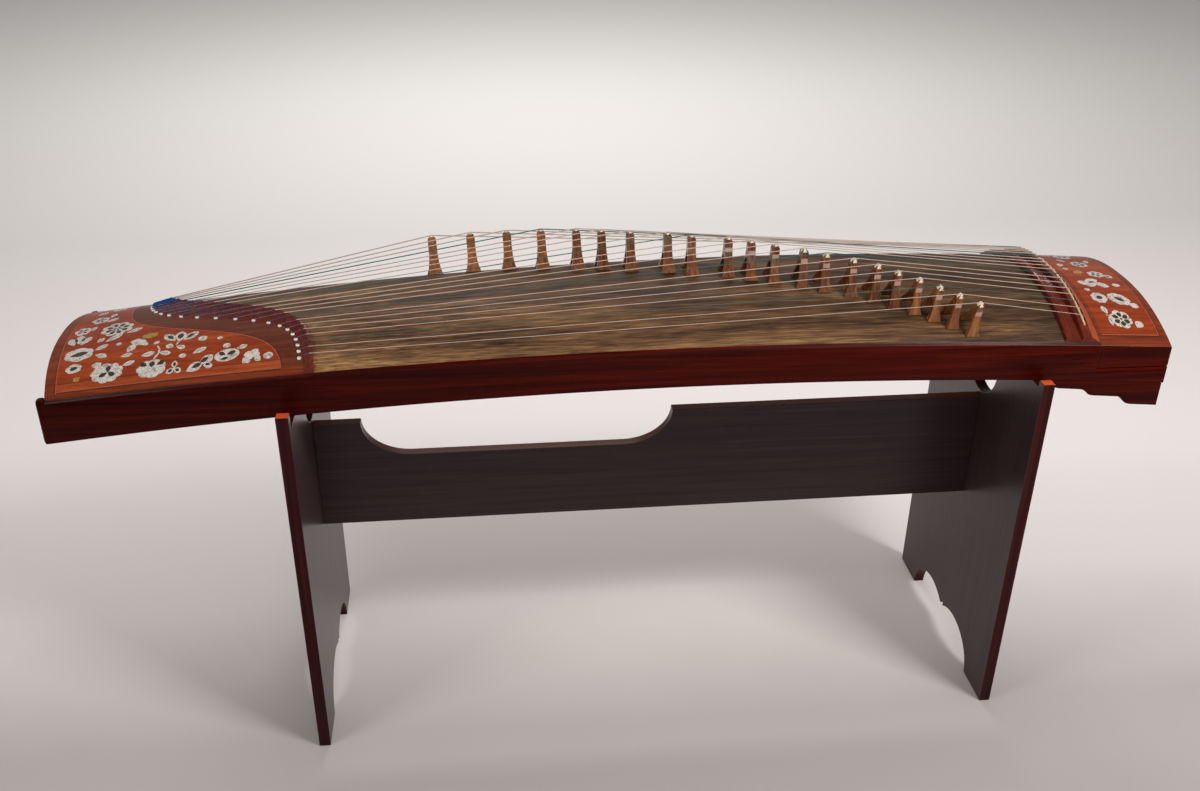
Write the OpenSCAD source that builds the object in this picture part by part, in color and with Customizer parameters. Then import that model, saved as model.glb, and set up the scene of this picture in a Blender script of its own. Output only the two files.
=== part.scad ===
// Plucked board zither with movable bridges, resting on a knock-down board stand.
// X runs along the strings, the tuning-box end being +X. The player sits on the -Y side. Z is up, 0 is the floor.

/* [Body] */
// overall length, from the ears at the tail to the lid hinge
body_length = 1630; // [1200:5:1700]
// half of the body's width at the tuning-box end
head_half_width = 175; // [120:1:200]
// half of the body's width at the tail end
tail_half_width = 150; // [100:1:190]
// thickness of the long side boards
side_thickness = 12; // [6:0.5:20]
// width of the side board's top edge that shows beside the soundboard
side_rim = 5; // [2:0.5:10]
// thickness of the soundboard
board_thickness = 8; // [4:0.5:12]
// height of the back board above the side boards' lower edge
back_recess = 3; // [0:0.5:10]
// thickness of the back board
back_thickness = 6; // [3:0.5:12]

/* [Arches] */
// place along the body where the side boards reach highest
arch_x = 190; // [0:5:400]
// height of the side boards' top edge there
edge_peak_z = 661; // [560:1:760]
// height of the side boards' lower edge there
base_peak_z = 604; // [500:1:700]
// lengthwise radius of the top edge
arch_radius = 10000; // [5000:100:20000]
// lengthwise radius of the lower edge
base_radius = 8900; // [5000:100:20000]
// rise of the soundboard's middle above its edges, where it is greatest
crown_peak = 50; // [20:1:80]
// place along the body where the crown is greatest
crown_x = 150; // [0:5:400]
// how slowly the crown falls off towards the ends
crown_radius = 27800; // [10000:100:60000]
// How flat the soundboard's arch across is: 2 is a parabola, more is flatter in the middle.
skin_power = 2.3; // [2:0.1:4]

/* [Tail] */
// how far the middle of the tail end stands out beyond its corners
tail_bulge = 12; // [0:1:30]
// length of the ears, in which the side boards end
ear_length = 12; // [4:1:30]
// thickness of the inlaid panel over the tail
panel_thickness = 2.2; // [1:0.1:5]
// height of the curved rear nut above the soundboard
rear_nut_height = 9; // [4:0.5:16]
// how far the ferrule line, the rear nut and the panel swing along the body
sweep = 124; // [60:1:160]

/* [Head] */
// place along the body where the front nut starts
nut_start = 648; // [600:1:700]
// height of the front nut at its ends
nut_end_height = 8; // [4:0.5:16]
// extra height of the front nut in the middle
nut_extra = 4; // [0:0.5:8]
// place along the body where the lid starts
lid_start = 702; // [660:1:740]
// height of the lid's lower edge above the floor
lid_base_z = 611; // [590:0.5:630]
// thickness of the lid's top
lid_thickness = 6; // [3:0.5:12]
// thickness of the lid's skirt
skirt_thickness = 10; // [5:0.5:16]
// radius of the lid's hinge barrel
barrel_radius = 1.95; // [1.5:0.05:4]
// radius of the lid's hinge pin
hinge_pin_radius = 1.1; // [0.6:0.1:2]
// depth of the feet under the head
foot_depth = 38; // [20:1:60]

/* [Strings] */
// number of strings, bridges and tuning pins
string_count = 21; // [13:1:25]
// gap between strings at the front nut
nut_spacing = 13.5; // [10:0.1:16]
// gap between string ferrules across the tail
tail_spacing = 11; // [8:0.1:14]
// radius of the thinnest string
thin_string = 0.45; // [0.2:0.05:1]
// radius added from each string to the next
string_step = 0.025; // [0:0.005:0.05]
// radius of a tuning pin
pin_radius = 3; // [2:0.1:4]
// clearance round a tuning pin in its block
pin_clearance = 0.05; // [0.01:0.01:0.1]

/* [Bridges] */
// height of the first, treble bridge
first_bridge_height = 53; // [35:1:70]
// height of the last, bass bridge
last_bridge_height = 60; // [40:1:80]
// distance between a bridge's outer foot edges, across the body
bridge_span = 40; // [25:1:60]
// length of the first bridge's foot along the string
first_bridge_foot = 19; // [10:1:30]
// length of the last bridge's foot along the string
last_bridge_foot = 24; // [10:1:34]
// length of a bridge's neck, as a share of its foot
bridge_neck = 0.55; // [0.3:0.01:0.9]
// gap between bridge centres across the body
bridge_spacing = 12.6; // [10:0.1:16]
// gap left between a bridge and what it touches
touch_gap = 0.3; // [0.1:0.1:1]

/* [Stand] */
// half of the stand's depth
stand_half_depth = 203; // [150:1:260]
// thickness of the stand's boards
stand_board = 18; // [12:1:25]
// inner face of the leg under the tail
left_leg_x = -468; // [-600:1:-300]
// inner face of the leg under the head
right_leg_x = 609; // [400:1:700]
// height of the horns that stop the body sliding off
horn_z = 603; // [560:1:680]
// width of a horn
horn_width = 16; // [10:1:30]
// radius of the deep notch in the top of each leg
notch_radius = 55; // [30:1:80]
// height of that notch's round centre
notch_z = 545; // [480:1:560]
// lower edge of the stretcher
stretcher_base_z = 295; // [200:1:400]
// upper edge of the stretcher
stretcher_top_z = 480; // [380:1:489]
// depth of the shallow cut-out in the stretcher's upper edge
cutout_depth = 60; // [20:1:100]

/* [Hidden] */
$fn = 48;
half_length = body_length / 2;
end_x = half_length - 2 * barrel_radius - 0.1;
barrel_x = half_length - barrel_radius;
barrel_z = lid_base_z - 0.5;
taper = (head_half_width - tail_half_width) / body_length;
across_steps = 20;
bone_height = 3;
slot_x = 684;
slot_width = 2.5;
pin_block_top = 622;
pin_top = 650;
front_row_x = 742;
back_row_x = 772;
horn_inner = stand_half_depth - horn_width;
// Bridges stand where the tuning puts them, so the gaps along the body are uneven: treble first.
bridge_x = [509, 483, 458, 432, 404, 378, 346, 309, 279, 239, 206, 174, 121, 87, 32, -10, -47, -100, -152, -208, -268];

// ---- the body's surfaces ----

function half_width(x) = (head_half_width + tail_half_width) / 2 + taper * x;
function edge_z(x) = edge_peak_z - pow(x - arch_x, 2) / (2 * arch_radius);
function base_z(x) = base_peak_z - pow(x - arch_x, 2) / (2 * base_radius);
function crown(x) = crown_peak - pow(x - crown_x, 2) / (2 * crown_radius);
function skin_z(x, y) = edge_z(x) + crown(x) * (1 - pow(abs(y) / half_width(x), skin_power));
function slope_across(x, y) =
    -skin_power * crown(x) * sign(y) * pow(abs(y) / half_width(x), skin_power - 1) / half_width(x);
function slope_along(x, y) = (skin_z(x + 1, y) - skin_z(x - 1, y)) / 2;
function tanh(v) = (exp(2 * v) - 1) / (exp(2 * v) + 1);

// A point at share s of the half width, less the inset, and h above the skin.
function on_skin(s, x, inset, h) =
    let (y = s * (half_width(x) - inset)) [x, y, skin_z(x, y) + h];
// The same, at a plain height above the floor.
function at_height(s, x, inset, z) = [x, s * (half_width(x) - inset), z];
function steps(from, to, count) = [for (i = [0 : count]) from + (to - from) * i / count];
across = steps(-1, 1, across_steps);

// The S-shaped lines across the tail, as a place along the body for each distance across.
function tail_y(s) = s * (half_width(-570) - side_rim);
function ferrule_line(y) = -577 - sweep * tanh((y + 23) / 45);
function nut_line(y) = -559 - (sweep + 3) * tanh((y - 12) / 66);
function tail_end(s) = -half_length + ear_length - tail_bulge * (1 - s * s);

// One face of a loft's end: it joins the ring's points j and j + 1 to the two opposite them.
function cap_face(size, j) = j + 1 == size - 2 - j
    ? [j, j + 1, size - 1 - j] : [j, j + 1, size - 2 - j, size - 1 - j];

// Joins closed rings of points, one after another, into a solid. Each ring runs clockwise, seen along the way.
// The second half of a ring runs back opposite its first half, so that the ends close in narrow faces.
module loft(rings) {
    count = len(rings);
    size = len(rings[0]);
    points = [for (ring = rings) each ring];
    sides = [for (i = [0 : count - 2], j = [0 : size - 1])
        let (a = i * size + j, b = i * size + (j + 1) % size)
        each [[a, b + size, b], [a, a + size, b + size]]];
    half = floor((size - 1) / 2);
    last = (count - 1) * size;
    first_cap = [for (j = [0 : half - 1]) cap_face(size, j)];
    last_cap = [for (j = [0 : half - 1])
        let (face = cap_face(size, j)) [for (k = [len(face) - 1 : -1 : 0]) last + face[k]]];
    polyhedron(points, concat(first_cap, sides, last_cap), convexity = 8);
}

// ---- the body ----

// One long side board. side is -1 on the player's side and 1 on the far side.
module side_board(side) {
    function outer(x, inset, z) = [x, side * (half_width(x) - inset), z];
    function wall(x) =
        let (seat_z = skin_z(x, half_width(x) - side_rim) - board_thickness - 0.2)
        [outer(x, 0, base_z(x)),
            outer(x, 0, edge_z(x)),
            outer(x, side_rim, skin_z(x, half_width(x) - side_rim)),
            outer(x, side_rim, seat_z),
            outer(x, side_thickness, seat_z),
            outer(x, side_thickness, base_z(x))];
    function ear(x, inset, lift) = [
        outer(x, inset, base_z(x) + 2 * inset),
        outer(x, inset, edge_z(x) + lift - inset),
        outer(x, side_thickness / 2, edge_z(x) + lift),
        outer(x, side_thickness - inset, edge_z(x) + lift - inset),
        outer(x, side_thickness - inset, edge_z(x) - 8),
        outer(x, side_thickness - inset, base_z(x) + 2 * inset)];
    function low_wall(x) = [
        outer(x, 0, base_z(x)),
        outer(x, 0, lid_base_z - 1.3),
        outer(x, side_rim, lid_base_z - 1),
        outer(x, side_thickness - 2, lid_base_z - 1.1),
        outer(x, side_thickness, lid_base_z - 1.4),
        outer(x, side_thickness, base_z(x))];
    rings = concat(
        [ear(-half_length, 3, 6), ear(-half_length + 2, 1, 7), ear(-half_length + ear_length - 3, 0, 7)],
        [for (x = steps(-half_length + ear_length, lid_start - 1, 20)) wall(x)],
        [for (x = steps(lid_start - 0.9, end_x, 2)) low_wall(x)]);
    loft(side > 0 ? rings : [for (i = [len(rings) - 1 : -1 : 0]) rings[i]]);
}

module side_front() {
    color([0.22, 0.06, 0.03])
    side_board(-1);
}

module side_rear() {
    color([0.22, 0.06, 0.03])
    side_board(1);
}

module soundboard() {
    function section(s) = concat(
        [for (x = steps(tail_end(s), nut_start, 20)) on_skin(s, x, side_rim, 0)],
        [for (x = steps(nut_start, tail_end(s), 20)) on_skin(s, x, side_rim, -board_thickness)]);
    color([0.42, 0.29, 0.2])
    loft([for (s = across) section(s)]);
}

module back_board() {
    function section(s) = concat(
        [for (x = steps(-half_length + ear_length + 2, end_x - side_thickness, 16))
            at_height(s, x, side_thickness, base_z(x) + back_recess + back_thickness)],
        [for (x = steps(end_x - side_thickness, -half_length + ear_length + 2, 16))
            at_height(s, x, side_thickness, base_z(x) + back_recess)]);
    color([0.55, 0.4, 0.26])
    difference() {
        loft([section(-1), section(1)]);
        for (x = [-380, 120]) {
            translate([x, 0, 500]) cylinder(h = 200, r = 35);
            translate([x + 60, 0, 500]) cylinder(h = 200, r = 35);
            translate([x, -35, 500]) cube([60, 70, 200]);
        }
    }
}

// A board across the inside of the body, from x0 to x1, closed by the skin above.
module cross_board(x0, x1, inset, drop) {
    function section(s) = [
        on_skin(s, x0, inset, -drop),
        on_skin(s, x1, inset, -drop),
        at_height(s, x1, inset, base_z(x1) + back_recess + back_thickness + 0.2),
        at_height(s, x0, inset, base_z(x0) + back_recess + back_thickness + 0.2)];
    loft([for (s = across) section(s)]);
}

module tail_wall() {
    wall = 1.8;
    function section(s) = [
        on_skin(s, tail_end(s) + 0.5, side_thickness, -board_thickness - 0.5),
        on_skin(s, -half_length + ear_length + wall, side_thickness, -board_thickness - 0.5),
        at_height(s, -half_length + ear_length + wall, side_thickness, base_z(-800)),
        at_height(s, tail_end(s) + 0.5, side_thickness, base_z(-800))];
    loft([for (s = across) section(s)]);
}

module cross_frames() {
    color([0.45, 0.2, 0.1]) {
        for (x = [-560, -300, -60, 260, 480]) {
            cross_board(x, x + 12, side_thickness, board_thickness + 0.5);
        }
        cross_board(664, 678, side_thickness, board_thickness + 0.5);
        tail_wall();
        loft([for (s = [-1, 1]) [
            at_height(s, end_x - side_thickness, side_thickness, lid_base_z - 1),
            at_height(s, end_x, side_thickness, lid_base_z - 1),
            at_height(s, end_x, side_thickness, base_z(end_x - side_thickness)),
            at_height(s, end_x - side_thickness, side_thickness, base_z(end_x - side_thickness))]]);
        lid_hinge_fixed();
    }
}

module tail_panel() {
    function section(s) =
        let (right = ferrule_line(tail_y(s)) + 6, left = tail_end(s))
        concat(
            [for (x = steps(left, right, 10)) on_skin(s, x, side_rim, panel_thickness)],
            [for (x = steps(right, left, 10)) on_skin(s, x, side_rim, touch_gap)]);
    color([0.58, 0.31, 0.22])
    loft([for (s = across) section(s)]);
}

module rear_nut() {
    function section(s) =
        let (left = ferrule_line(tail_y(s)) + 6.2, right = nut_line(tail_y(s)), run = right - left)
        let (crest = min(8, run * 0.4), edge = min(3, run * 0.15))
        concat(
            [on_skin(s, left, side_rim, panel_thickness)],
            [on_skin(s, left + run * 0.4, side_rim, panel_thickness + 2.4)],
            [on_skin(s, right - crest, side_rim, rear_nut_height)],
            [on_skin(s, right - edge, side_rim, rear_nut_height)],
            [on_skin(s, right, side_rim, rear_nut_height - 3)],
            [for (x = steps(right, left, 4)) on_skin(s, x, side_rim, touch_gap)]);
    color([0.35, 0.07, 0.05])
    loft([for (s = across) section(s)]);
}

module string_ferrules() {
    color([0.93, 0.9, 0.85])
    for (n = [1 : string_count]) {
        y = ferrule_y(n);
        x = ferrule_line(y);
        translate([x, y, skin_z(x, y) + panel_thickness + 0.2])
        rotate([atan(slope_across(x, y)), 0, 0])
        cylinder(h = 2, r1 = 2.4, r2 = 1.6, $fn = 24);
    }
}

// How far the front nut's ridge stands above the skin, at a distance across.
function nut_rise(y) = nut_end_height + nut_extra * (1 - pow(y / (half_width(slot_x) - side_rim), 2));

module front_nut() {
    function profile(rise) = [[nut_start, rise * 0.6], [nut_start + 4, rise * 0.9], [nut_start + 11, rise * 0.9],
        [nut_start + 15, 1.5], [nut_start + 25, 1.5], [nut_start + 27, rise], [slot_x, rise],
        [slot_x + 4, rise - 0.5], [lid_start - 1, 0.5]];
    function section(s) =
        let (line = profile(nut_rise(s * (half_width(slot_x) - side_rim))))
        concat(
            [for (p = line) on_skin(s, p[0], side_rim, p[1])],
            [for (i = [len(line) - 1 : -1 : 0]) on_skin(s, line[i][0], side_rim, -board_thickness)]);
    color([0.5, 0.13, 0.07])
    difference() {
        loft([for (s = across) section(s)]);
        translate([slot_x, -nut_y(string_count) - 6, 620])
        cube([slot_width, 2 * nut_y(string_count) + 12, 120]);
    }
}

module nut_bone() {
    function rise(s) = nut_rise(s * (half_width(slot_x) - 24)) + 0.1;
    function section(s) = [
        on_skin(s, slot_x - 3.6, 24, rise(s)),
        on_skin(s, slot_x - 3.6, 24, rise(s) + bone_height - 0.6),
        on_skin(s, slot_x - 2.8, 24, rise(s) + bone_height),
        on_skin(s, slot_x - 1.5, 24, rise(s) + bone_height),
        on_skin(s, slot_x - 0.6, 24, rise(s) + bone_height - 1.8),
        on_skin(s, slot_x - 0.6, 24, rise(s))];
    color([0.93, 0.83, 0.62])
    loft([for (s = across) section(s)]);
}

// ---- the tuning box ----

module pin_block() {
    function board_top(x) = base_z(x) + back_recess + back_thickness + 0.2;
    color([0.5, 0.3, 0.16])
    difference() {
        rotate([90, 0, 0])
        linear_extrude(height = 304, center = true)
        polygon([[716, pin_block_top], [716, board_top(716)], [794, board_top(794)], [794, pin_block_top]]);
        for (n = [1 : string_count]) {
            translate([pin_x(n), pin_y(n), 604]) cylinder(h = 40, r = pin_radius + pin_clearance);
        }
    }
}

module tuning_pin(n) {
    color([0.7, 0.7, 0.72])
    translate([pin_x(n), pin_y(n), 605]) {
        cylinder(h = pin_top - 605 - 9, r = pin_radius);
        translate([-2.1, -2.1, pin_top - 605 - 9]) cube([4.2, 4.2, 9]);
    }
}

module head_feet() {
    depths = [[640, 6], [648, 13], [684, 14], [690, 16], [696, 22], [704, 24], [744, 25], [750, 27], [755, 33],
        [764, foot_depth - 1], [end_x - 3, foot_depth]];
    function apron(side, x, depth) = [
        [x, side * half_width(x), base_z(x) - 0.1],
        [x, side * half_width(x), base_z(x) - depth],
        [x, side * (half_width(x) - 14), base_z(x) - depth],
        [x, side * (half_width(x) - 14), base_z(x) - 0.1]];
    function end_apron(s) = let (depth = 14 + (foot_depth - 14) * pow(s, 8)) [
        at_height(s, end_x - 17, 14.2, base_z(end_x - side_thickness) - 0.2),
        at_height(s, end_x - 3, 14.2, base_z(end_x - side_thickness) - 0.2),
        at_height(s, end_x - 3, 14.2, base_z(end_x - 3) - depth),
        at_height(s, end_x - 17, 14.2, base_z(end_x - 3) - depth)];
    color([0.22, 0.06, 0.03]) {
        loft([for (p = depths) apron(-1, p[0], p[1])]);
        loft([for (i = [len(depths) - 1 : -1 : 0]) apron(1, depths[i][0], depths[i][1])]);
        loft([for (s = across) end_apron(s)]);
    }
}

// Half a hinge's knuckles and leaf, standing on the end face. up is 1 on the lid and -1 on the box.
module hinge_leaf(y, width, up) {
    translate([end_x, y, barrel_z + (up > 0 ? 0.5 : -9.5)]) cube([1, width, 9]);
}

module lid_hinge_fixed() {
    for (y = [-90, 90]) {
        for (side = [-1, 1]) {
            translate([barrel_x, y + side * 13 - 6, barrel_z])
            rotate([-90, 0, 0]) cylinder(h = 12, r = barrel_radius);
            hinge_leaf(y + side * 13 - 6, 12, -1);
            translate([end_x, y + side * 13 - 6, barrel_z - 1.2]) cube([barrel_x - end_x, 12, 0.8]);
        }
        translate([barrel_x, y - 13, barrel_z])
        rotate([-90, 0, 0]) cylinder(h = 26, r = hinge_pin_radius);
    }
}

module lid_hinge_moving() {
    for (y = [-90, 90]) {
        difference() {
            union() {
                translate([barrel_x, y - 6.6, barrel_z])
                rotate([-90, 0, 0]) cylinder(h = 13.2, r = barrel_radius);
                translate([end_x, y - 6.6, barrel_z + 0.5]) cube([barrel_x - end_x, 13.2, 0.8]);
                hinge_leaf(y - 6.6, 13.2, 1);
            }
            translate([barrel_x, y - 10, barrel_z])
            rotate([-90, 0, 0]) cylinder(h = 20, r = hinge_pin_radius + 0.15);
        }
    }
}

module head_lid() {
    function shell(s) = concat(
        [for (x = steps(lid_start, end_x, 4)) on_skin(s, x, 0, 0)],
        [at_height(s, end_x, 0, lid_base_z), at_height(s, lid_start, 0, lid_base_z)]);
    function hollow(s) = concat(
        [for (x = steps(lid_start - 5, end_x - skirt_thickness, 4)) on_skin(s, x, skirt_thickness, -lid_thickness)],
        [at_height(s, end_x - skirt_thickness, skirt_thickness, lid_base_z - 20)],
        [at_height(s, lid_start - 5, skirt_thickness, lid_base_z - 20)]);
    color([0.55, 0.16, 0.08]) {
        difference() {
            loft([for (s = across) shell(s)]);
            loft([for (s = across) hollow(s)]);
        }
        lid_hinge_moving();
    }
}

// ---- strings, bridges and pins: number 1 is the thinnest, nearest the player ----

function string_radius(n) = thin_string + string_step * (n - 1);
function ferrule_y(n) = -130 + tail_spacing * (n - 1);
function nut_y(n) = nut_spacing * (n - 1 - (string_count - 1) / 2);
function pin_x(n) = n % 2 == 1 ? front_row_x : back_row_x;
function pin_y(n) = nut_y(n);
function bridge_y(n) = -141 + bridge_spacing * (n - 1);
function bridge_height(n) =
    first_bridge_height + (last_bridge_height - first_bridge_height) * (n - 1) / (string_count - 1);

function bridge_foot(n) =
    first_bridge_foot + (last_bridge_foot - first_bridge_foot) * (n - 1) / (string_count - 1);

// The place of a bridge's tip, which stands square to the skin.
function tip(n) =
    let (x = bridge_x[n - 1], y = bridge_y(n), a = atan(slope_across(x, y)), b = atan(slope_along(x, y)))
    let (h = bridge_height(n) + touch_gap)
    [x - h * sin(b), y - h * sin(a) * cos(b), skin_z(x, y) + h * cos(a) * cos(b)];

// The string's route: ferrule, rear nut, bridge, bone, slot and tuning pin.
function string_route(n) =
    let (r = string_radius(n), f = ferrule_y(n), fx = ferrule_line(f), t = tip(n), w = nut_y(n))
    let (cx = nut_line(f + 4) - 5, cy = f + (t[1] - f) * (cx - fx) / (t[0] - fx))
    let (rise = nut_rise(w) + bone_height)
    [[fx, f, skin_z(fx, f) + panel_thickness + 2.5 + r],
        [cx, cy, skin_z(cx, cy) + rear_nut_height + 0.4 + r],
        [t[0], t[1], t[2] + touch_gap + r],
        [slot_x - 0.6, w, skin_z(slot_x - 0.6, w) + rise + 0.5 + r],
        [slot_x + slot_width / 2, w, skin_z(slot_x, w) + rise - 3],
        [slot_x + slot_width / 2, w, skin_z(slot_x, w) - 12],
        [pin_x(n), pin_y(n) + pin_radius + 0.15 + r, 640]];

function unit(v) = v / norm(v);
function ring_at(route, i, r) =
    let (before = route[max(i - 1, 0)], after = route[min(i + 1, len(route) - 1)], here = route[i])
    let (a = i > 0 ? unit(here - before) : unit(after - here), b = i < len(route) - 1 ? unit(after - here) : a)
    let (along = unit(a + b), side = [0, 1, 0], up = unit(cross(along, side)))
    [for (k = [0 : 5]) here + r * (cos(60 * k) * side + sin(60 * k) * up)];

module one_string(n) {
    route = string_route(n);
    loft([for (i = [0 : len(route) - 1]) ring_at(route, i, string_radius(n))]);
    translate([pin_x(n), pin_y(n), 637.4 - 8 * string_radius(n)])
    difference() {
        cylinder(h = 8 * string_radius(n), r = pin_radius + 0.15 + 2 * string_radius(n));
        translate([0, 0, -1]) cylinder(h = 20, r = pin_radius + 0.15);
    }
}

module strings() {
    color([0.85, 0.8, 0.76])
    for (n = [1 : string_count]) {
        one_string(n);
    }
}

// A bridge seen along the string: two legs and the arch between them.
module bridge_front(height) {
    half = bridge_span / 2;
    function outer(t) = [5 + (half - 5) * pow(1 - t, 1.6), height * 0.93 * t];
    right = [for (t = steps(0, 1, 7)) outer(t)];
    left = [for (i = [len(right) - 1 : -1 : 0]) [-right[i][0], right[i][1]]];
    arch = [for (a = steps(180, 0, 8)) [(half - 9) * cos(a), height * 0.52 * sin(a)]];
    polygon(concat(right, [[3, height], [-3, height]], left, arch));
}

// The same bridge seen from the side: a slender neck with a round top, flaring to the feet.
module bridge_profile(height, foot) {
    neck = foot * bridge_neck / 2;
    function outer(t) = [neck + (foot / 2 - neck) * pow(1 - t, 2.6), height * 0.88 * t];
    right = [for (t = steps(0, 1, 7)) outer(t)];
    left = [for (i = [len(right) - 1 : -1 : 0]) [-right[i][0], right[i][1]]];
    crest = [for (a = steps(0, 180, 6)) [neck * cos(a), height * (0.88 + 0.12 * sin(a)) + 0.01]];
    polygon(concat(right, crest, left));
}

module bridge(n) {
    x = bridge_x[n - 1];
    y = bridge_y(n);
    height = bridge_height(n);
    color([0.48, 0.25, 0.11])
    translate([x, y, skin_z(x, y)])
    rotate([atan(slope_across(x, y)), 0, 0])
    rotate([0, -atan(slope_along(x, y)), 0])
    translate([0, 0, touch_gap])
    intersection() {
        rotate([90, 0, 90]) linear_extrude(height = 60, center = true) bridge_front(height);
        rotate([90, 0, 0]) linear_extrude(height = 80, center = true) bridge_profile(height, bridge_foot(n));
    }
}

// ---- the stand ----

// The leg's outline across the stand: two lobes between the feet, horns and a deep notch above.
module leg_outline(top_z) {
    lobe_centre = 55;
    lobe_half = 74;
    lobe_height = 62;
    function lobe(a) = [lobe_centre + lobe_half * cos(a), lobe_height * sin(a)];
    cusp = acos(-lobe_centre / lobe_half);
    right = [for (a = steps(0, cusp, 14)) lobe(a)];
    left = [for (i = [len(right) - 1 : -1 : 0]) [-right[i][0], right[i][1]]];
    difference() {
        polygon(concat(
            [[-stand_half_depth, 0], [-stand_half_depth, horn_z], [-horn_inner, horn_z], [-horn_inner, top_z],
                [horn_inner, top_z], [horn_inner, horn_z], [stand_half_depth, horn_z], [stand_half_depth, 0]],
            right, left));
        translate([0, 46]) square([10, 14], center = true);
        translate([0, notch_z]) circle(r = notch_radius);
        translate([-notch_radius, notch_z]) square([2 * notch_radius, 100]);
    }
}

// Places of the four stretcher bolts, up the leg.
bolt_heights = [stretcher_base_z + 40, stretcher_top_z - 75];

module stand_leg(x, top_z) {
    difference() {
        translate([x, 0, 0])
        rotate([90, 0, 90]) linear_extrude(height = stand_board) leg_outline(top_z);
        for (z = bolt_heights) {
            translate([x - 1, 0, z]) rotate([0, 90, 0]) cylinder(h = stand_board + 2, r = 3.2);
        }
    }
}

module stand_leg_left() {
    color([0.3, 0.22, 0.22])
    stand_leg(left_leg_x - stand_board, base_z(left_leg_x - stand_board) - touch_gap);
}

module stand_leg_right() {
    color([0.3, 0.22, 0.22])
    stand_leg(right_leg_x, base_z(right_leg_x + stand_board) - touch_gap);
}

module stand_stretcher() {
    cut_from = -394;
    cut_to = 99;
    cut_run = 78;
    floor_z = stretcher_top_z - cutout_depth;
    down = [for (a = steps(180, 270, 10))
        [cut_from + cut_run + cut_run * cos(a), stretcher_top_z + cutout_depth * sin(a)]];
    up = [for (a = steps(270, 360, 10))
        [cut_to - cut_run + cut_run * cos(a), stretcher_top_z + cutout_depth * sin(a)]];
    color([0.2, 0.14, 0.14])
    difference() {
        rotate([90, 0, 0])
        linear_extrude(height = stand_board, center = true)
        polygon(concat(
            [[left_leg_x, stretcher_base_z], [left_leg_x, stretcher_top_z]],
            down, up,
            [[right_leg_x, stretcher_top_z], [right_leg_x, stretcher_base_z]]));
        for (z = bolt_heights) {
            for (end = [left_leg_x, right_leg_x]) {
                translate([end - 50, 0, z]) rotate([0, 90, 0]) cylinder(h = 100, r = 3.2);
            }
            for (x = [left_leg_x + 32, right_leg_x - 32]) {
                translate([x, 0, z]) rotate([90, 0, 0]) cylinder(h = 40, r = 5.05, center = true);
            }
        }
    }
}

// A bolt through a leg, with its barrel nut in the stretcher. side is 1 for the right leg.
module stand_bolt(face_x, z, side) {
    outside = face_x + side * stand_board;
    translate([outside, 0, z]) rotate([0, side * 90, 0]) cylinder(h = 4, r = 7);
    translate([outside, 0, z]) rotate([0, -side * 90, 0]) cylinder(h = stand_board + 40, r = 3);
    translate([face_x - side * 32, 0, z]) rotate([90, 0, 0]) cylinder(h = stand_board - 1, r = 5, center = true);
}

module stand_bolts() {
    color([0.6, 0.6, 0.62])
    for (z = bolt_heights) {
        stand_bolt(left_leg_x, z, -1);
        stand_bolt(right_leg_x, z, 1);
    }
}

stand_leg_left();
stand_leg_right();
stand_stretcher();
stand_bolts();
side_front();
side_rear();
soundboard();
back_board();
cross_frames();
tail_panel();
rear_nut();
string_ferrules();
front_nut();
nut_bone();
pin_block();
head_feet();
head_lid();
strings();
bridge(1);  // bridge_01
bridge(2);  // bridge_02
bridge(3);  // bridge_03
bridge(4);  // bridge_04
bridge(5);  // bridge_05
bridge(6);  // bridge_06
bridge(7);  // bridge_07
bridge(8);  // bridge_08
bridge(9);  // bridge_09
bridge(10);  // bridge_10
bridge(11);  // bridge_11
bridge(12);  // bridge_12
bridge(13);  // bridge_13
bridge(14);  // bridge_14
bridge(15);  // bridge_15
bridge(16);  // bridge_16
bridge(17);  // bridge_17
bridge(18);  // bridge_18
bridge(19);  // bridge_19
bridge(20);  // bridge_20
bridge(21);  // bridge_21
tuning_pin(1);  // pin_01
tuning_pin(2);  // pin_02
tuning_pin(3);  // pin_03
tuning_pin(4);  // pin_04
tuning_pin(5);  // pin_05
tuning_pin(6);  // pin_06
tuning_pin(7);  // pin_07
tuning_pin(8);  // pin_08
tuning_pin(9);  // pin_09
tuning_pin(10);  // pin_10
tuning_pin(11);  // pin_11
tuning_pin(12);  // pin_12
tuning_pin(13);  // pin_13
tuning_pin(14);  // pin_14
tuning_pin(15);  // pin_15
tuning_pin(16);  // pin_16
tuning_pin(17);  // pin_17
tuning_pin(18);  // pin_18
tuning_pin(19);  // pin_19
tuning_pin(20);  // pin_20
tuning_pin(21);  // pin_21
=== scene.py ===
"""A guzheng, a long plucked zither with movable bridges, on its board stand.

X runs along the strings towards the tuning box, the player sits on the -Y side, Z is up.
The surfaces repeat the formulas of part.scad, in metres.
"""

from math import acos, atan, atan2, copysign, cos, degrees, hypot, pi, radians, sin, sqrt, tanh

import bmesh
import bpy
from mathutils import Matrix, Vector


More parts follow.
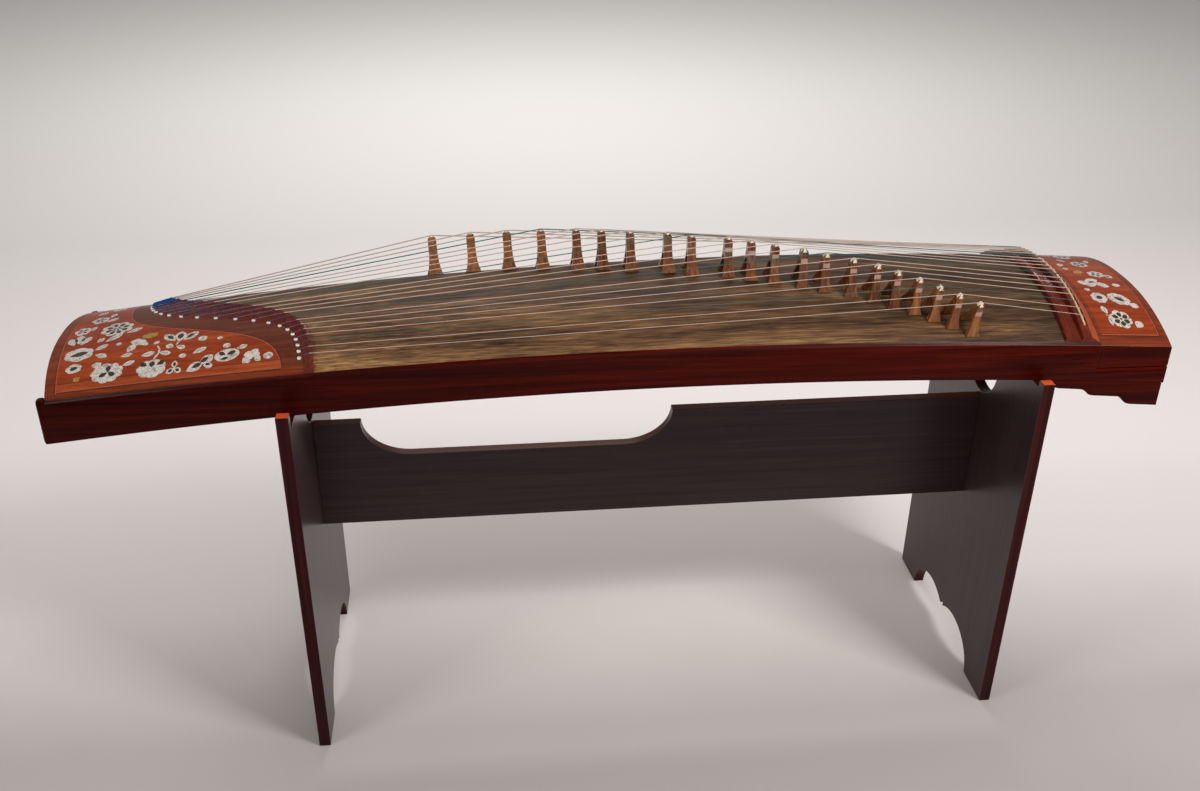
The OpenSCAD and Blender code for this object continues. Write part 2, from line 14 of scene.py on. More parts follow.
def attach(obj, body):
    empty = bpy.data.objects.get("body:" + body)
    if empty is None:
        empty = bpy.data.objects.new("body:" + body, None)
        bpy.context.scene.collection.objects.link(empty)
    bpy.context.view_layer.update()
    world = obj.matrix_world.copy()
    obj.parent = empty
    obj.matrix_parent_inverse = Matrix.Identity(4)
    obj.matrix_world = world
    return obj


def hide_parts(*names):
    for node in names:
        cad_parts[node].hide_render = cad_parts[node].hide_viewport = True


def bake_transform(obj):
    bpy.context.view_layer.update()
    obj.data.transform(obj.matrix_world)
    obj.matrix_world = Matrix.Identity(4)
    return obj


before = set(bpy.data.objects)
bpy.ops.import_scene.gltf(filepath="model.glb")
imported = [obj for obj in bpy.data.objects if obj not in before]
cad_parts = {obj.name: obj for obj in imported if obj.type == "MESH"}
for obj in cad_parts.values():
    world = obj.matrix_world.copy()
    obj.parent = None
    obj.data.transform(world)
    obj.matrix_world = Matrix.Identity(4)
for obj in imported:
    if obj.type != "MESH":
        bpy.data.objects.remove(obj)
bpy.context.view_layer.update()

MM = 0.001
TAU = 2 * pi

# ---- sizes that part.scad also holds ----

HALF_LENGTH = 0.815
EAR_LENGTH = 0.012
TAIL_BULGE = 0.012
SIDE_THICKNESS = 0.012
SIDE_RIM = 0.005
BOARD_THICKNESS = 0.008
PANEL_THICKNESS = 0.0022
REAR_NUT_HEIGHT = 0.009
NUT_START = 0.648
LID_START = 0.702
END_X = 0.811
LID_BASE_Z = 0.611
LID_THICKNESS = 0.006
SKIRT_THICKNESS = 0.01
SLOT_X = 0.684
SLOT_WIDTH = 0.0025
BONE_HEIGHT = 0.003
SKIN_POWER = 2.3
STRINGS = 21
TOUCH_GAP = 0.0003
FIT_GAP = 0.0001
LEG_BOARD = 0.018
LEFT_LEG_X = -0.468
RIGHT_LEG_X = 0.609
STRETCHER_BASE = 0.295
STRETCHER_TOP = 0.48
BOLT_HEIGHTS = (0.335, 0.405)
# Where the tuning puts the bridges, treble first, in millimetres along the body.
BRIDGE_X = (509, 483, 458, 432, 404, 378, 346, 309, 279, 239, 206, 174, 121, 87, 32, -10, -47,
            -100, -152, -208, -268)
GREEN_STRINGS = (3, 8, 13, 18)


def half_width(x):
    return 0.1625 + 0.025 / 1.63 * x


def edge_z(x):
    return 0.661 - (x - 0.19) ** 2 / 20


def base_z(x):
    return 0.604 - (x - 0.19) ** 2 / 17.8


def crown(x):
    return 0.05 - (x - 0.15) ** 2 / 55.6


def skin_z(x, y):
    return edge_z(x) + crown(x) * (1 - (abs(y) / half_width(x)) ** SKIN_POWER)


def slope_across(x, y):
    share = abs(y) / half_width(x)
    return -copysign(SKIN_POWER * crown(x) * share ** (SKIN_POWER - 1) / half_width(x), y)


def slope_along(x, y):
    return (skin_z(x + MM, y) - skin_z(x - MM, y)) / (2 * MM)


def skin(x, y, lift=0.0):
    return Vector((x, y, skin_z(x, y) + lift))


def skin_frame(x, y):
    """The directions along the body, across it and out of the skin at a place on the soundboard."""
    along = Vector((1, 0, slope_along(x, y))).normalized()
    out = along.cross(Vector((0, 1, slope_across(x, y)))).normalized()
    return along, out.cross(along), out


def ferrule_line(y):
    return -0.577 - 0.124 * tanh((y + 0.023) / 0.045)


def nut_line(y):
    return -0.559 - 0.127 * tanh((y - 0.012) / 0.066)


def tail_end(s):
    return -HALF_LENGTH + EAR_LENGTH - TAIL_BULGE * (1 - s * s)


def nut_rise(y):
    """How far the front nut's ridge stands above the skin, at a distance across."""
    return 0.008 + 0.004 * (1 - (y / (half_width(SLOT_X) - SIDE_RIM)) ** 2)


def board_half(x):
    """Half of the soundboard's width between the side boards."""
    return half_width(x) - SIDE_RIM - FIT_GAP


def spread(first, last, count):
    return [first + (last - first) * i / count for i in range(count + 1)]


def angles(count=24):
    """Angles evenly round a full turn."""
    return [TAU * k / count for k in range(count)]


def circle(centre, first, second, sides=24):
    """A ring of points round centre, through centre + first and centre + second."""
    return [centre + cos(a) * first + sin(a) * second for a in angles(sides)]


# ---- meshes ----


def link(thing):
    bpy.context.scene.collection.objects.link(thing)
    return thing


def finish_mesh(name, shape, materials, body="instrument", kinds=None, sharp=32, bevel=0.0,
                node=None):
    """Makes an object from (points, faces), smooth except at edges sharper than sharp degrees.

    Where they are given, it rides on body and stands in for the CAD node.
    """
    mesh = bpy.data.meshes.new(name)
    mesh.from_pydata([tuple(p) for p in shape[0]], [], shape[1])
    for material in materials:
        mesh.materials.append(material)
    if kinds:
        mesh.polygons.foreach_set("material_index", kinds)
    work = bmesh.new()
    work.from_mesh(mesh)
    bmesh.ops.remove_doubles(work, verts=work.verts, dist=0.002 * MM)
    bmesh.ops.recalc_face_normals(work, faces=work.faces)
    for face in work.faces:
        face.smooth = True
    for edge in work.edges:
        edge.smooth = edge.calc_face_angle(0.0) < radians(sharp)
    work.to_mesh(mesh)
    work.free()
    made = link(bpy.data.objects.new(name, mesh))
    if bevel:
        rounding = made.modifiers.new("rounding", "BEVEL")
        rounding.width = bevel
        rounding.segments = 3
        rounding.limit_method = "ANGLE"
        rounding.angle_limit = radians(sharp)
        rounding.harden_normals = True
    if body:
        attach(made, body)
    if node:
        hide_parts(node)
    return made


def loft(rings, closed=False):
    """Points and faces of a solid through rings of points, with end faces unless it closes on itself."""
    size, count = len(rings[0]), len(rings)
    faces = []
    for i in range(count if closed else count - 1):
        for j in range(size):
            a, b = i * size, (i + 1) % count * size
            k = (j + 1) % size
            faces.append((a + j, a + k, b + k, b + j))
    if not closed:
        faces.append(tuple(range(size)))
        faces.append(tuple((count - 1) * size + j for j in range(size)))
    return [p for ring in rings for p in ring], faces


def swept(ring, count):
    """A solid through rings across the body; ring makes one from its share of the half width."""
    return loft([ring(s) for s in spread(-1, 1, count)])


def slab(top, bottom):
    """Points and faces of a closed solid between two grids of points of the same size."""
    rows, columns = len(top), len(top[0])
    below = rows * columns
    faces = []
    for i in range(rows - 1):
        for j in range(columns - 1):
            a = i * columns + j
            cell = (a, a + 1, a + columns + 1, a + columns)
            faces.append(cell)
            faces.append(tuple(below + p for p in reversed(cell)))
    rim = list(range(columns))
    rim += [i * columns + columns - 1 for i in range(1, rows)]
    rim += [(rows - 1) * columns + j for j in range(columns - 2, -1, -1)]
    rim += [i * columns for i in range(rows - 2, 0, -1)]
    faces += [(a, below + a, below + b, b) for a, b in zip(rim, rim[1:] + rim[:1])]
    return [p for row in top + bottom for p in row], faces


def joined(parts):
    """Several (points, faces) pairs as one."""
    points, faces = [], []
    for more_points, more_faces in parts:
        start = len(points)
        points += more_points
        faces += [tuple(start + i for i in face) for face in more_faces]
    return points, faces


def tube(path, radii, sides=8):
    """A round bar through a path of points. radii is one radius or a list of them."""
    rings = []
    for i, here in enumerate(path):
        along = (path[min(i + 1, len(path) - 1)] - path[max(i - 1, 0)]).normalized()
        side = along.cross(Vector((0, 0, 1)) if abs(along.z) < 0.95 else Vector((0, 1, 0))).normalized()
        radius = radii[i] if isinstance(radii, list) else radii
        rings.append(circle(here, radius * side, radius * side.cross(along), sides))
    return loft(rings)


def plate(outline, place):
    """A board: outline is a closed line of 2D points, place turns one and a side (0 or 1) into a point."""
    return loft([[place(p, side) for p in outline] for side in (0, 1)])


# ---- materials ----


class Nodes:
    """A node tree under construction."""

    def __init__(self, tree):
        self.tree = tree

    def put(self, socket, value):
        """Links an output to a socket, or sets the socket to a value."""
        if isinstance(value, bpy.types.NodeSocket):
            self.tree.links.new(value, socket)
        elif isinstance(value, tuple) and socket.type == "RGBA":
            socket.default_value = (*value, 1)
        else:
            socket.default_value = value

    def add(self, kind, inputs=(), **settings):
        node = self.tree.nodes.new(kind)
        for key, value in settings.items():
            setattr(node, key, value)
        for key, value in dict(inputs).items():
            self.put(node.inputs[key], value)
        return node

    def ramp(self, factor, stops):
        node = self.add("ShaderNodeValToRGB", {"Fac": factor})
        while len(node.color_ramp.elements) < len(stops):
            node.color_ramp.elements.new(0.5)
        for element, (position, colour) in zip(node.color_ramp.elements, stops):
            element.position = position
            element.color = (*colour, 1)
        return node.outputs["Color"]

    def level(self, factor, low, high, from_low=0.0, from_high=1.0):
        return self.add("ShaderNodeMapRange", {"Value": factor, "From Min": from_low, "From Max": from_high,
                                               "To Min": low, "To Max": high}).outputs["Result"]

    def part(self, vector, axis):
        return self.add("ShaderNodeSeparateXYZ", {"Vector": vector}).outputs[axis]


class Recipe(Nodes):
    """A material under construction. Its features are placed in frame metres."""

    def __init__(self, name, roughness=0.5, coat=0.0, coat_roughness=0.1, metallic=0.0, gloss=0.5):
        self.material = bpy.data.materials.new(name)
        self.material.use_nodes = True
        super().__init__(self.material.node_tree)
        self.tree.nodes.clear()
        self.shader = self.add("ShaderNodeBsdfPrincipled",
                               {"Roughness": roughness, "Coat Weight": coat, "Coat Roughness": coat_roughness,
                                "Metallic": metallic, "Specular IOR Level": gloss})
        self.add("ShaderNodeOutputMaterial", {"Surface": self.shader.outputs["BSDF"]})
        self.place = self.add("ShaderNodeTexCoord").outputs["Object"]

    def noise(self, scale, detail=4.0, roughness=0.55, distortion=0.0, shift=(0, 0, 0)):
        """Noise with scale features to the metre along each axis."""
        vector = self.add("ShaderNodeMapping", {"Vector": self.place, "Scale": scale, "Location": shift})
        return self.add("ShaderNodeTexNoise", {"Vector": vector.outputs["Vector"], "Scale": 1.0,
                                               "Detail": detail, "Roughness": roughness,
                                               "Distortion": distortion}).outputs["Fac"]

    def multiply(self, first, second, factor):
        """Darkens a first colour by a second, as far as factor says."""
        node = self.add("ShaderNodeMix", data_type="RGBA", blend_type="MULTIPLY")
        for index, value in ((6, first), (7, second), (0, factor)):
            self.put(node.inputs[index], value)
        return node.outputs[2]

    def math(self, operation, first, second):
        return self.add("ShaderNodeMath", {0: first, 1: second}, operation=operation).outputs["Value"]

    def blend(self, first, second, share):
        """A mixture of two noises with a share of the second."""
        return self.math("ADD", self.math("MULTIPLY", first, 1 - share), self.math("MULTIPLY", second, share))

    def finish(self, colour, roughness=None, height=None, strength=0.2, distance=0.0005):
        self.put(self.shader.inputs["Base Color"], colour)
        if roughness is not None:
            self.put(self.shader.inputs["Roughness"], roughness)
        if height is not None:
            bump = self.add("ShaderNodeBump", {"Height": height, "Strength": strength, "Distance": distance})
            self.put(self.shader.inputs["Normal"], bump.outputs["Normal"])
        return self.material


def grained(along, long_way, across):
    """A scale for features that are long in the direction along and fine across it."""
    return [long_way if a else across for a in along]


def lacquered_wood(name, dark, middle, light, along=(1, 0, 0), coat=0.15, roughness=0.35, pores=0.35,
                   gloss=0.15):
    """Polished hardwood. along is the grain's direction."""
    made = Recipe(name, roughness, coat, 0.12, gloss=gloss)
    broad = made.noise(grained(along, 0.9, 16.0), 3.0, 0.5, 0.4)
    lines = made.noise(grained(along, 3.0, 150.0), 5.0, 0.6, 0.6)
    base = made.ramp(made.blend(broad, lines, 0.6), [(0.36, dark), (0.5, middle), (0.64, light)])
    pore = made.noise(grained(along, 22.0, 900.0), 2.0, 0.5)
    pore_dark = made.ramp(pore, [(0.36, (0.35, 0.35, 0.35)), (0.46, (1, 1, 1))])
    shine = made.level(lines, roughness - 0.06, roughness + 0.1)
    return made.finish(made.multiply(base, pore_dark, pores), shine, pore, 0.08, 0.0002)


def scorched_board(name):
    """Softwood scorched and brushed: dark lines between golden streaks, with painted shade that darkens it
    towards the far side and towards the head end.
    """
    made = Recipe(name, 0.6, 0.05, 0.4, gloss=0.2)
    broad = made.noise((1.2, 16, 16), 4.0, 0.55, 0.5)
    streaks = made.noise((8.0, 130, 130), 6.0, 0.7, 0.8, (3, 1, 0))
    fine = made.noise((20.0, 560, 560), 3.0, 0.6, 0.3, (1, 2, 0))
    base = made.ramp(made.blend(broad, streaks, 0.55),
                     [(0.36, (0.035, 0.017, 0.01)), (0.45, (0.115, 0.057, 0.027)),
                      (0.54, (0.23, 0.118, 0.05)), (0.64, (0.45, 0.26, 0.1))])
    lines = made.ramp(fine, [(0.35, (0.35, 0.33, 0.32)), (0.5, (0.85, 0.85, 0.85)), (0.65, (1.5, 1.42, 1.3))])
    # painted shade: across and along darken the board towards the far side and towards the head end
    across = made.level(made.part(made.place, "Y"), 1.02, 0.36, -0.17, 0.13)
    along = made.level(made.part(made.place, "X"), 1.25, 0.6, -0.45, 0.65)
    painted_shade = made.math("MULTIPLY", across, along)
    colour = made.multiply(made.multiply(base, lines, 0.85), painted_shade, 1.0)
    return made.finish(colour, made.level(fine, 0.42, 0.68), fine, 0.35, 0.0004)


def bridge_wood(name):
    made = Recipe(name, 0.3, 0.3, 0.15, gloss=0.3)
    tone = made.noise((9, 9, 2), 1.0)
    grain = made.noise((260, 160, 24), 4.0, 0.6, 0.8)
    colour = made.ramp(made.blend(tone, grain, 0.55),
                       [(0.36, (0.07, 0.018, 0.005)), (0.48, (0.2, 0.062, 0.015)),
                        (0.62, (0.4, 0.15, 0.04))])
    return made.finish(colour, made.level(grain, 0.24, 0.42), grain, 0.1, 0.0002)


def pearl(name):
    """Mother-of-pearl: pale, with soft pink and green clouds and fine cut lines."""
    made = Recipe(name, 0.22, 0.5, 0.08)
    cloud = made.noise((120, 120, 120), 3.0, 0.6, 1.5)
    clouds = made.ramp(cloud, [(0.34, (0.34, 0.29, 0.25)), (0.46, (0.62, 0.55, 0.49)),
                               (0.56, (0.78, 0.73, 0.66)), (0.68, (0.5, 0.52, 0.47))])
    cuts = made.noise((420, 420, 200), 2.0, 0.5, 2.5)
    colour = made.multiply(clouds, made.ramp(cuts, [(0.4, (0.34, 0.28, 0.24)), (0.48, (1, 1, 1))]), 0.7)
    made.shader.inputs["Sheen Weight"].default_value = 0.1
    return made.finish(colour, made.level(cloud, 0.14, 0.34), cuts, 0.15, 0.0003)


def plain(name, colour, roughness=0.4, coat=0.0, metallic=0.0, scale=300.0, change=0.25, bump=0.05):
    """A near-even surface with fine mottling."""
    made = Recipe(name, roughness, coat, 0.1, metallic)
    mottle = made.noise((scale, scale, scale))
    darker = tuple(c * (1 - change) for c in colour)
    lighter = tuple(min(1.0, c * (1 + change)) for c in colour)
    tone = made.ramp(mottle, [(0.35, darker), (0.65, lighter)])
    return made.finish(tone, made.level(mottle, roughness * 0.8, roughness * 1.2), mottle, bump, 0.0002)


def string_material(name, colour, pitch=1600.0):
    """Nylon-wrapped string, with the winding's fine turns across it."""
    made = Recipe(name, 0.35, 0.1, 0.1, gloss=0.3)
    turns = made.add("ShaderNodeTexWave", {"Vector": made.place, "Scale": pitch, "Distortion": 0.0},
                     wave_type="BANDS", bands_direction="X").outputs["Fac"]
    darker = tuple(c * 0.72 for c in colour)
    return made.finish(made.ramp(turns, [(0.2, darker), (0.6, colour)]), None, turns, 0.3, 0.0001)


def laminate(name, colour, along):
    """Dark wood-printed board with a faint grain."""
    made = Recipe(name, 0.3, 0.0, 0.3, gloss=0.3)
    grain = made.noise(grained(along, 3.0, 120.0), 5.0, 0.6, 0.6)
    pore = made.noise(grained(along, 20.0, 1200.0), 2.0)
    base = made.ramp(grain, [(0.35, tuple(c * 0.72 for c in colour)), (0.5, colour),
                             (0.68, tuple(c * 1.35 for c in colour))])
    tone = made.multiply(base, made.ramp(pore, [(0.38, (0.6, 0.6, 0.6)), (0.48, (1, 1, 1))]), 0.5)
    return made.finish(tone, made.level(grain, 0.24, 0.36), pore, 0.08, 0.0002)


SIDE_WOOD = lacquered_wood("side_wood", (0.016, 0.001, 0.0005), (0.042, 0.002, 0.0005), (0.09, 0.005, 0.001),
                           coat=0.05, gloss=0.06)
PANEL_GROUND = lacquered_wood("panel_ground", (0.185, 0.023, 0.004), (0.295, 0.041, 0.008),
                              (0.41, 0.074, 0.014))
PANEL_FRAME = lacquered_wood("panel_frame", (0.12, 0.017, 0.005), (0.195, 0.032, 0.008), (0.28, 0.055, 0.013))
PANEL_BAND = lacquered_wood("panel_band", (0.24, 0.038, 0.01), (0.35, 0.062, 0.015), (0.46, 0.1, 0.024))
STRIP_WOOD = lacquered_wood("strip_wood", (0.08, 0.016, 0.007), (0.13, 0.027, 0.011), (0.185, 0.045, 0.019))
NUT_WOOD = lacquered_wood("nut_wood", (0.085, 0.009, 0.003), (0.13, 0.015, 0.004), (0.19, 0.026, 0.007),
                          along=(0, 1, 0), coat=0.35, roughness=0.22, pores=0.15, gloss=0.2)
SLOPE_WOOD = lacquered_wood("slope_wood", (0.24, 0.04, 0.01), (0.35, 0.066, 0.016), (0.46, 0.105, 0.026),
                            along=(0, 1, 0), roughness=0.3)
BOARD_WOOD = scorched_board("scorched_board")
BACK_WOOD = lacquered_wood("back_wood", (0.3, 0.17, 0.08), (0.42, 0.26, 0.13), (0.52, 0.35, 0.19),
                           coat=0.05, roughness=0.6)
INNER_WOOD = lacquered_wood("inner_wood", (0.26, 0.13, 0.06), (0.36, 0.2, 0.095), (0.46, 0.28, 0.15),
                            along=(0, 1, 0), coat=0.0, roughness=0.65)
LIGHT_LINE = plain("light_line", (0.4, 0.085, 0.024), 0.35, 0.1)
DARK_LINE = plain("dark_line", (0.018, 0.004, 0.003), 0.35, 0.4)
PEARL = pearl("pearl")
DARK_PETAL = plain("dark_petal", (0.03, 0.018, 0.012), 0.3, 0.5)
GOLD_SHELL = plain("gold_shell", (0.36, 0.2, 0.02), 0.3, 0.5, change=0.4, scale=500)
BONE = plain("bone", (0.68, 0.48, 0.26), 0.3, 0.3)
BRIDGE_WOOD = bridge_wood("bridge_wood")
CAP_BONE = plain("cap_bone", (0.8, 0.74, 0.62), 0.3, 0.3)
LABEL = plain("label", (0.52, 0.34, 0.27), 0.55, change=0.1)
STRING_WHITE = string_material("string_white", (0.66, 0.53, 0.46))
STRING_GREEN = string_material("string_green", (0.04, 0.15, 0.15))
WRAP_VIOLET = string_material("wrap_violet", (0.04, 0.04, 0.15), 900.0)
WRAP_BLUE = string_material("wrap_blue", (0.01, 0.075, 0.28), 900.0)
BEAD = plain("bead", (0.82, 0.76, 0.7), 0.25, 0.4, change=0.08)
STEEL = plain("steel", (0.6, 0.6, 0.62), 0.24, metallic=1.0, scale=700, change=0.1)
BRASS = plain("brass", (0.64, 0.44, 0.17), 0.3, metallic=1.0, scale=700, change=0.15)
LEG_FACE = laminate("leg_face", (0.05, 0.028, 0.03), (0, 0, 1))
# the stretcher's broad faces: the legs' laminate at about six tenths of its colour, painted shade for faces
# that get less light than the legs
SHADED_BEAM_FACE = laminate("shaded_beam_face", (0.03, 0.016, 0.018), (1, 0, 0))
LEG_EDGE = lacquered_wood("leg_edge", (0.016, 0.002, 0.002), (0.032, 0.004, 0.004), (0.06, 0.008, 0.006),
                          along=(0, 0, 1), coat=0.05, pores=0.2, gloss=0.1)
# the upward faces of the horns: the edge wood made many times brighter, a painted highlight of the light
# falling on the tops
LEG_TOP_HIGHLIGHT = lacquered_wood("leg_top_highlight", (0.55, 0.06, 0.015), (0.7, 0.085, 0.022), (0.8, 0.12, 0.035), pores=0.1)
BEAM_EDGE = lacquered_wood("beam_edge", (0.09, 0.026, 0.016), (0.15, 0.045, 0.026), (0.21, 0.07, 0.04))


# ---- the body ----


def board_slice(x, side, profile):
    """One slice of a long board: profile holds places as (inset from the side's outer face, height)."""
    return [Vector((x, side * (half_width(x) - inset), z)) for inset, z in profile]


def rounded_foot(low, inset=0.0):
    """The rounded lower outer corner of a board."""
    return [(inset, low + 1.5 * MM), (inset + 0.45 * MM, low + 0.45 * MM), (inset + 1.5 * MM, low)]


def side_section(x, side):
    """A side board under the soundboard, with its outer corners rounded."""
    low, high = base_z(x), edge_z(x)
    seat = skin_z(x, half_width(x) - SIDE_RIM)
    under = seat - BOARD_THICKNESS - 2 * FIT_GAP
    return board_slice(x, side, rounded_foot(low) + [
        (SIDE_THICKNESS, low), (SIDE_THICKNESS, under), (SIDE_RIM, under), (SIDE_RIM, seat),
        (SIDE_RIM - 0.6 * MM, seat + 0.1 * MM), (2.2 * MM, high + 0.9 * MM), (1.2 * MM, high + 0.1 * MM),
        (0.4 * MM, high - 0.9 * MM), (0.0, high - 2.2 * MM)])


def side_low_section(x, side):
    """A side board under the lid, where it is lower."""
    low, high = base_z(x), LID_BASE_Z - MM
    return board_slice(x, side, rounded_foot(low) + [
        (SIDE_THICKNESS, low), (SIDE_THICKNESS, (low + high) / 2), (SIDE_THICKNESS, high - 0.5 * MM),
        (SIDE_THICKNESS - 0.5 * MM, high), (6 * MM, high), (3 * MM, high), (1.5 * MM, high),
        (0.5 * MM, high - 0.2 * MM), (0.0, high - MM)])


def ear_section(x, side, inset, lift):
    """The small upright ear at the tail, rounded towards its end."""
    low, high, inner = base_z(x) + 2 * inset, edge_z(x) + lift, SIDE_THICKNESS - inset
    return board_slice(x, side, rounded_foot(low, inset) + [
        (inner, low), (inner, high - 14 * MM), (inner, high - 8 * MM), (inner, high - 4 * MM),
        (inner - 0.6 * MM, high - 1.8 * MM), (inner - 2 * MM, high - 0.5 * MM), (SIDE_THICKNESS / 2, high),
        (inset + 1.6 * MM, high - 0.6 * MM), (inset, high - 3 * MM)])


def build_sides():
    # each slice of the ear: its distance from the tail's end, how far it draws in and how far it rises
    ear = ((0.05, 3.0, 3.5), (0.8, 1.6, 5.2), (2.2, 0.5, 6.4), (4.0, 0.0, 6.8), (9.0, 0.0, 6.8),
           (11.0, 0.0, 5.0))
    for side, node in ((-1, "side_front"), (1, "side_rear")):
        rings = [ear_section(-HALF_LENGTH + run * MM, side, inset * MM, lift * MM)
                 for run, inset, lift in ear]
        rings += [side_section(x, side) for x in spread(-HALF_LENGTH + EAR_LENGTH, LID_START - MM, 90)]
        rings += [side_low_section(x, side) for x in spread(LID_START - 0.9 * MM, END_X - 0.4 * MM, 10)]
        finish_mesh(node + "_board", loft(rings), [SIDE_WOOD], sharp=38, node=node)


def build_soundboard():
    def sheet(lift):
        return [[skin(x, s * board_half(x), lift) for x in spread(tail_end(s) + MM, NUT_START, 110)]
                for s in spread(-1, 1, 64)]

    finish_mesh("soundboard_skin", slab(sheet(-0.05 * MM), sheet(-BOARD_THICKNESS)), [BOARD_WOOD],
                node="soundboard")


# The tail panel's fields: the frame round the edge, and the ground inside the light line.
LINE_INSET = 0.014
BAND_WIDTH = 0.013
PANEL_X = -0.62


def inner_left(y):
    share = y / (half_width(-0.79) - SIDE_RIM)
    return tail_end(share) + 0.0155


def inner_right(y):
    return -0.6 - 0.125 * tanh((y + 0.05) / 0.045)


def build_tail_panel():
    """The panel's grid has its lines along the edges of the fields, so that each face is in one field."""
    inset = LINE_INSET - SIDE_RIM
    # each row across: its share of the half width and a fixed shift
    rows = [(-1.0, 0.0), (-1.0, inset), (-1.0, inset + BAND_WIDTH)]
    rows += [(s, 0.0) for s in spread(-0.8, 0.88, 84)]
    rows += [(1.0, -inset), (1.0, 0.0)]
    frame_cells, field_cells, strip_cells = 4, 60, 8

    def row_points(share, shift, lift):
        y = share * board_half(PANEL_X) + shift
        edge_share = max(-1.0, min(1.0, y / (half_width(PANEL_X) - SIDE_RIM)))
        ends = [tail_end(edge_share) + FIT_GAP, inner_left(y), inner_right(y), ferrule_line(y) + 6 * MM]
        xs = spread(ends[0], ends[1], frame_cells)[:-1] + spread(ends[1], ends[2], field_cells)[:-1]
        xs += spread(ends[2], ends[3], strip_cells)
        return [skin(x, share * board_half(x) + shift, lift) for x in xs]

    def field_of(i, j):
        if j >= frame_cells + field_cells:
            return 3 if i >= 1 else 0
        if j < frame_cells or i == 0 or i >= len(rows) - 2:
            return 0
        return 2 if i == 1 else 1

    top, bottom = ([row_points(*row, lift) for row in rows] for lift in (PANEL_THICKNESS, TOUCH_GAP))
    points, faces = slab(top, bottom)
    kinds = []
    for i in range(len(rows) - 1):
        for j in range(len(top[0]) - 1):
            kinds += [field_of(i, j), 0]
    kinds += [0] * (len(faces) - len(kinds))
    finish_mesh("tail_panel_board", (points, faces), [PANEL_FRAME, PANEL_GROUND, PANEL_BAND, STRIP_WOOD],
                "instrument", kinds, node="tail_panel")


def ribbon(path, width, lift, depth=0.0004):
    """A thin strip let into the skin along a path of (x, y) places, standing lift above the skin."""
    edges = ([], [])
    for i, (x, y) in enumerate(path):
        before, after = path[max(i - 1, 0)], path[min(i + 1, len(path) - 1)]
        dx, dy = after[0] - before[0], after[1] - before[1]
        half = width / 2 / hypot(dx, dy)
        edges[0].append((x - dy * half, y + dx * half))
        edges[1].append((x + dy * half, y - dx * half))
    return slab(*([[skin(x, y, z) for x, y in edge] for edge in edges] for z in (lift, lift - depth)))


def finish_lines(name, paths, material, body):
    """One object from ribbons given as (path, width, lift)."""
    finish_mesh(name, joined([ribbon(*path) for path in paths]), [material], body)


def build_tail_lines():
    far = half_width(PANEL_X) - LINE_INSET
    lift = PANEL_THICKNESS + 0.22 * MM
    ys = spread(-far, far, 120)
    curve = [(inner_right(y), y) for y in ys]
    arc = [(inner_left(y), y) for y in ys]

    def along(y, count, side, inset, short=0.0):
        return [(x, side * (half_width(x) - inset))
                for x in spread(inner_left(y), inner_right(y) - short, count)]

    low_line = along(-far, 60, -1, LINE_INSET)
    high_line = along(-far, 60, -1, LINE_INSET + BAND_WIDTH, 0.5 * MM)
    far_line = along(far, 20, 1, LINE_INSET)
    light = [(path, 1.3 * MM, lift) for path in (curve, arc, far_line)] + [(low_line, 1.1 * MM, lift)]
    finish_lines("tail_light_line", light, LIGHT_LINE, "instrument")
    outside = [[(x + dx * MM, y + dy * MM) for x, y in path]
               for path, dx, dy in ((curve, 1.7, 0), (arc, -1.6, 0), (low_line, 0, -1.5))]
    dark = [(path, 0.8 * MM, lift - 0.05 * MM) for path in outside] + [(high_line, 0.7 * MM, lift - 0.1 * MM)]
    finish_lines("tail_dark_line", dark, DARK_LINE, "instrument")


def build_rear_nut():
    """A rail from the ferrules to the nut line. Its profile rises to a crest just before its far face."""
    slope = [(0.0, 2.2), (0.12, 2.6), (0.3, 3.4), (0.5, 4.8), (0.7, 6.4)]
    crest = [(-8.5, 8.2), (-7.0, 8.8), (-5.5, 9.0), (-3.6, 8.9), (-2.0, 8.3), (-0.9, 7.0), (-0.2, 4.5),
             (0.0, 2.0)]

    def ring(s):
        y = s * board_half(-0.57)
        left, right = ferrule_line(y) + 6.2 * MM, nut_line(y)
        run = right - left
        width = min(MM, run * 0.04)
        line = [(left + run * share * 0.86, lift * MM) for share, lift in slope]
        line += [(right + dx * width, lift * MM) for dx, lift in crest]
        line += [(x, TOUCH_GAP) for x in (right, (left + right) / 2, left)]
        return [skin(x, s * board_half(x), lift) for x, lift in line]

    finish_mesh("rear_nut_rail", swept(ring, 110), [NUT_WOOD], "instrument",
                sharp=40, node="rear_nut")


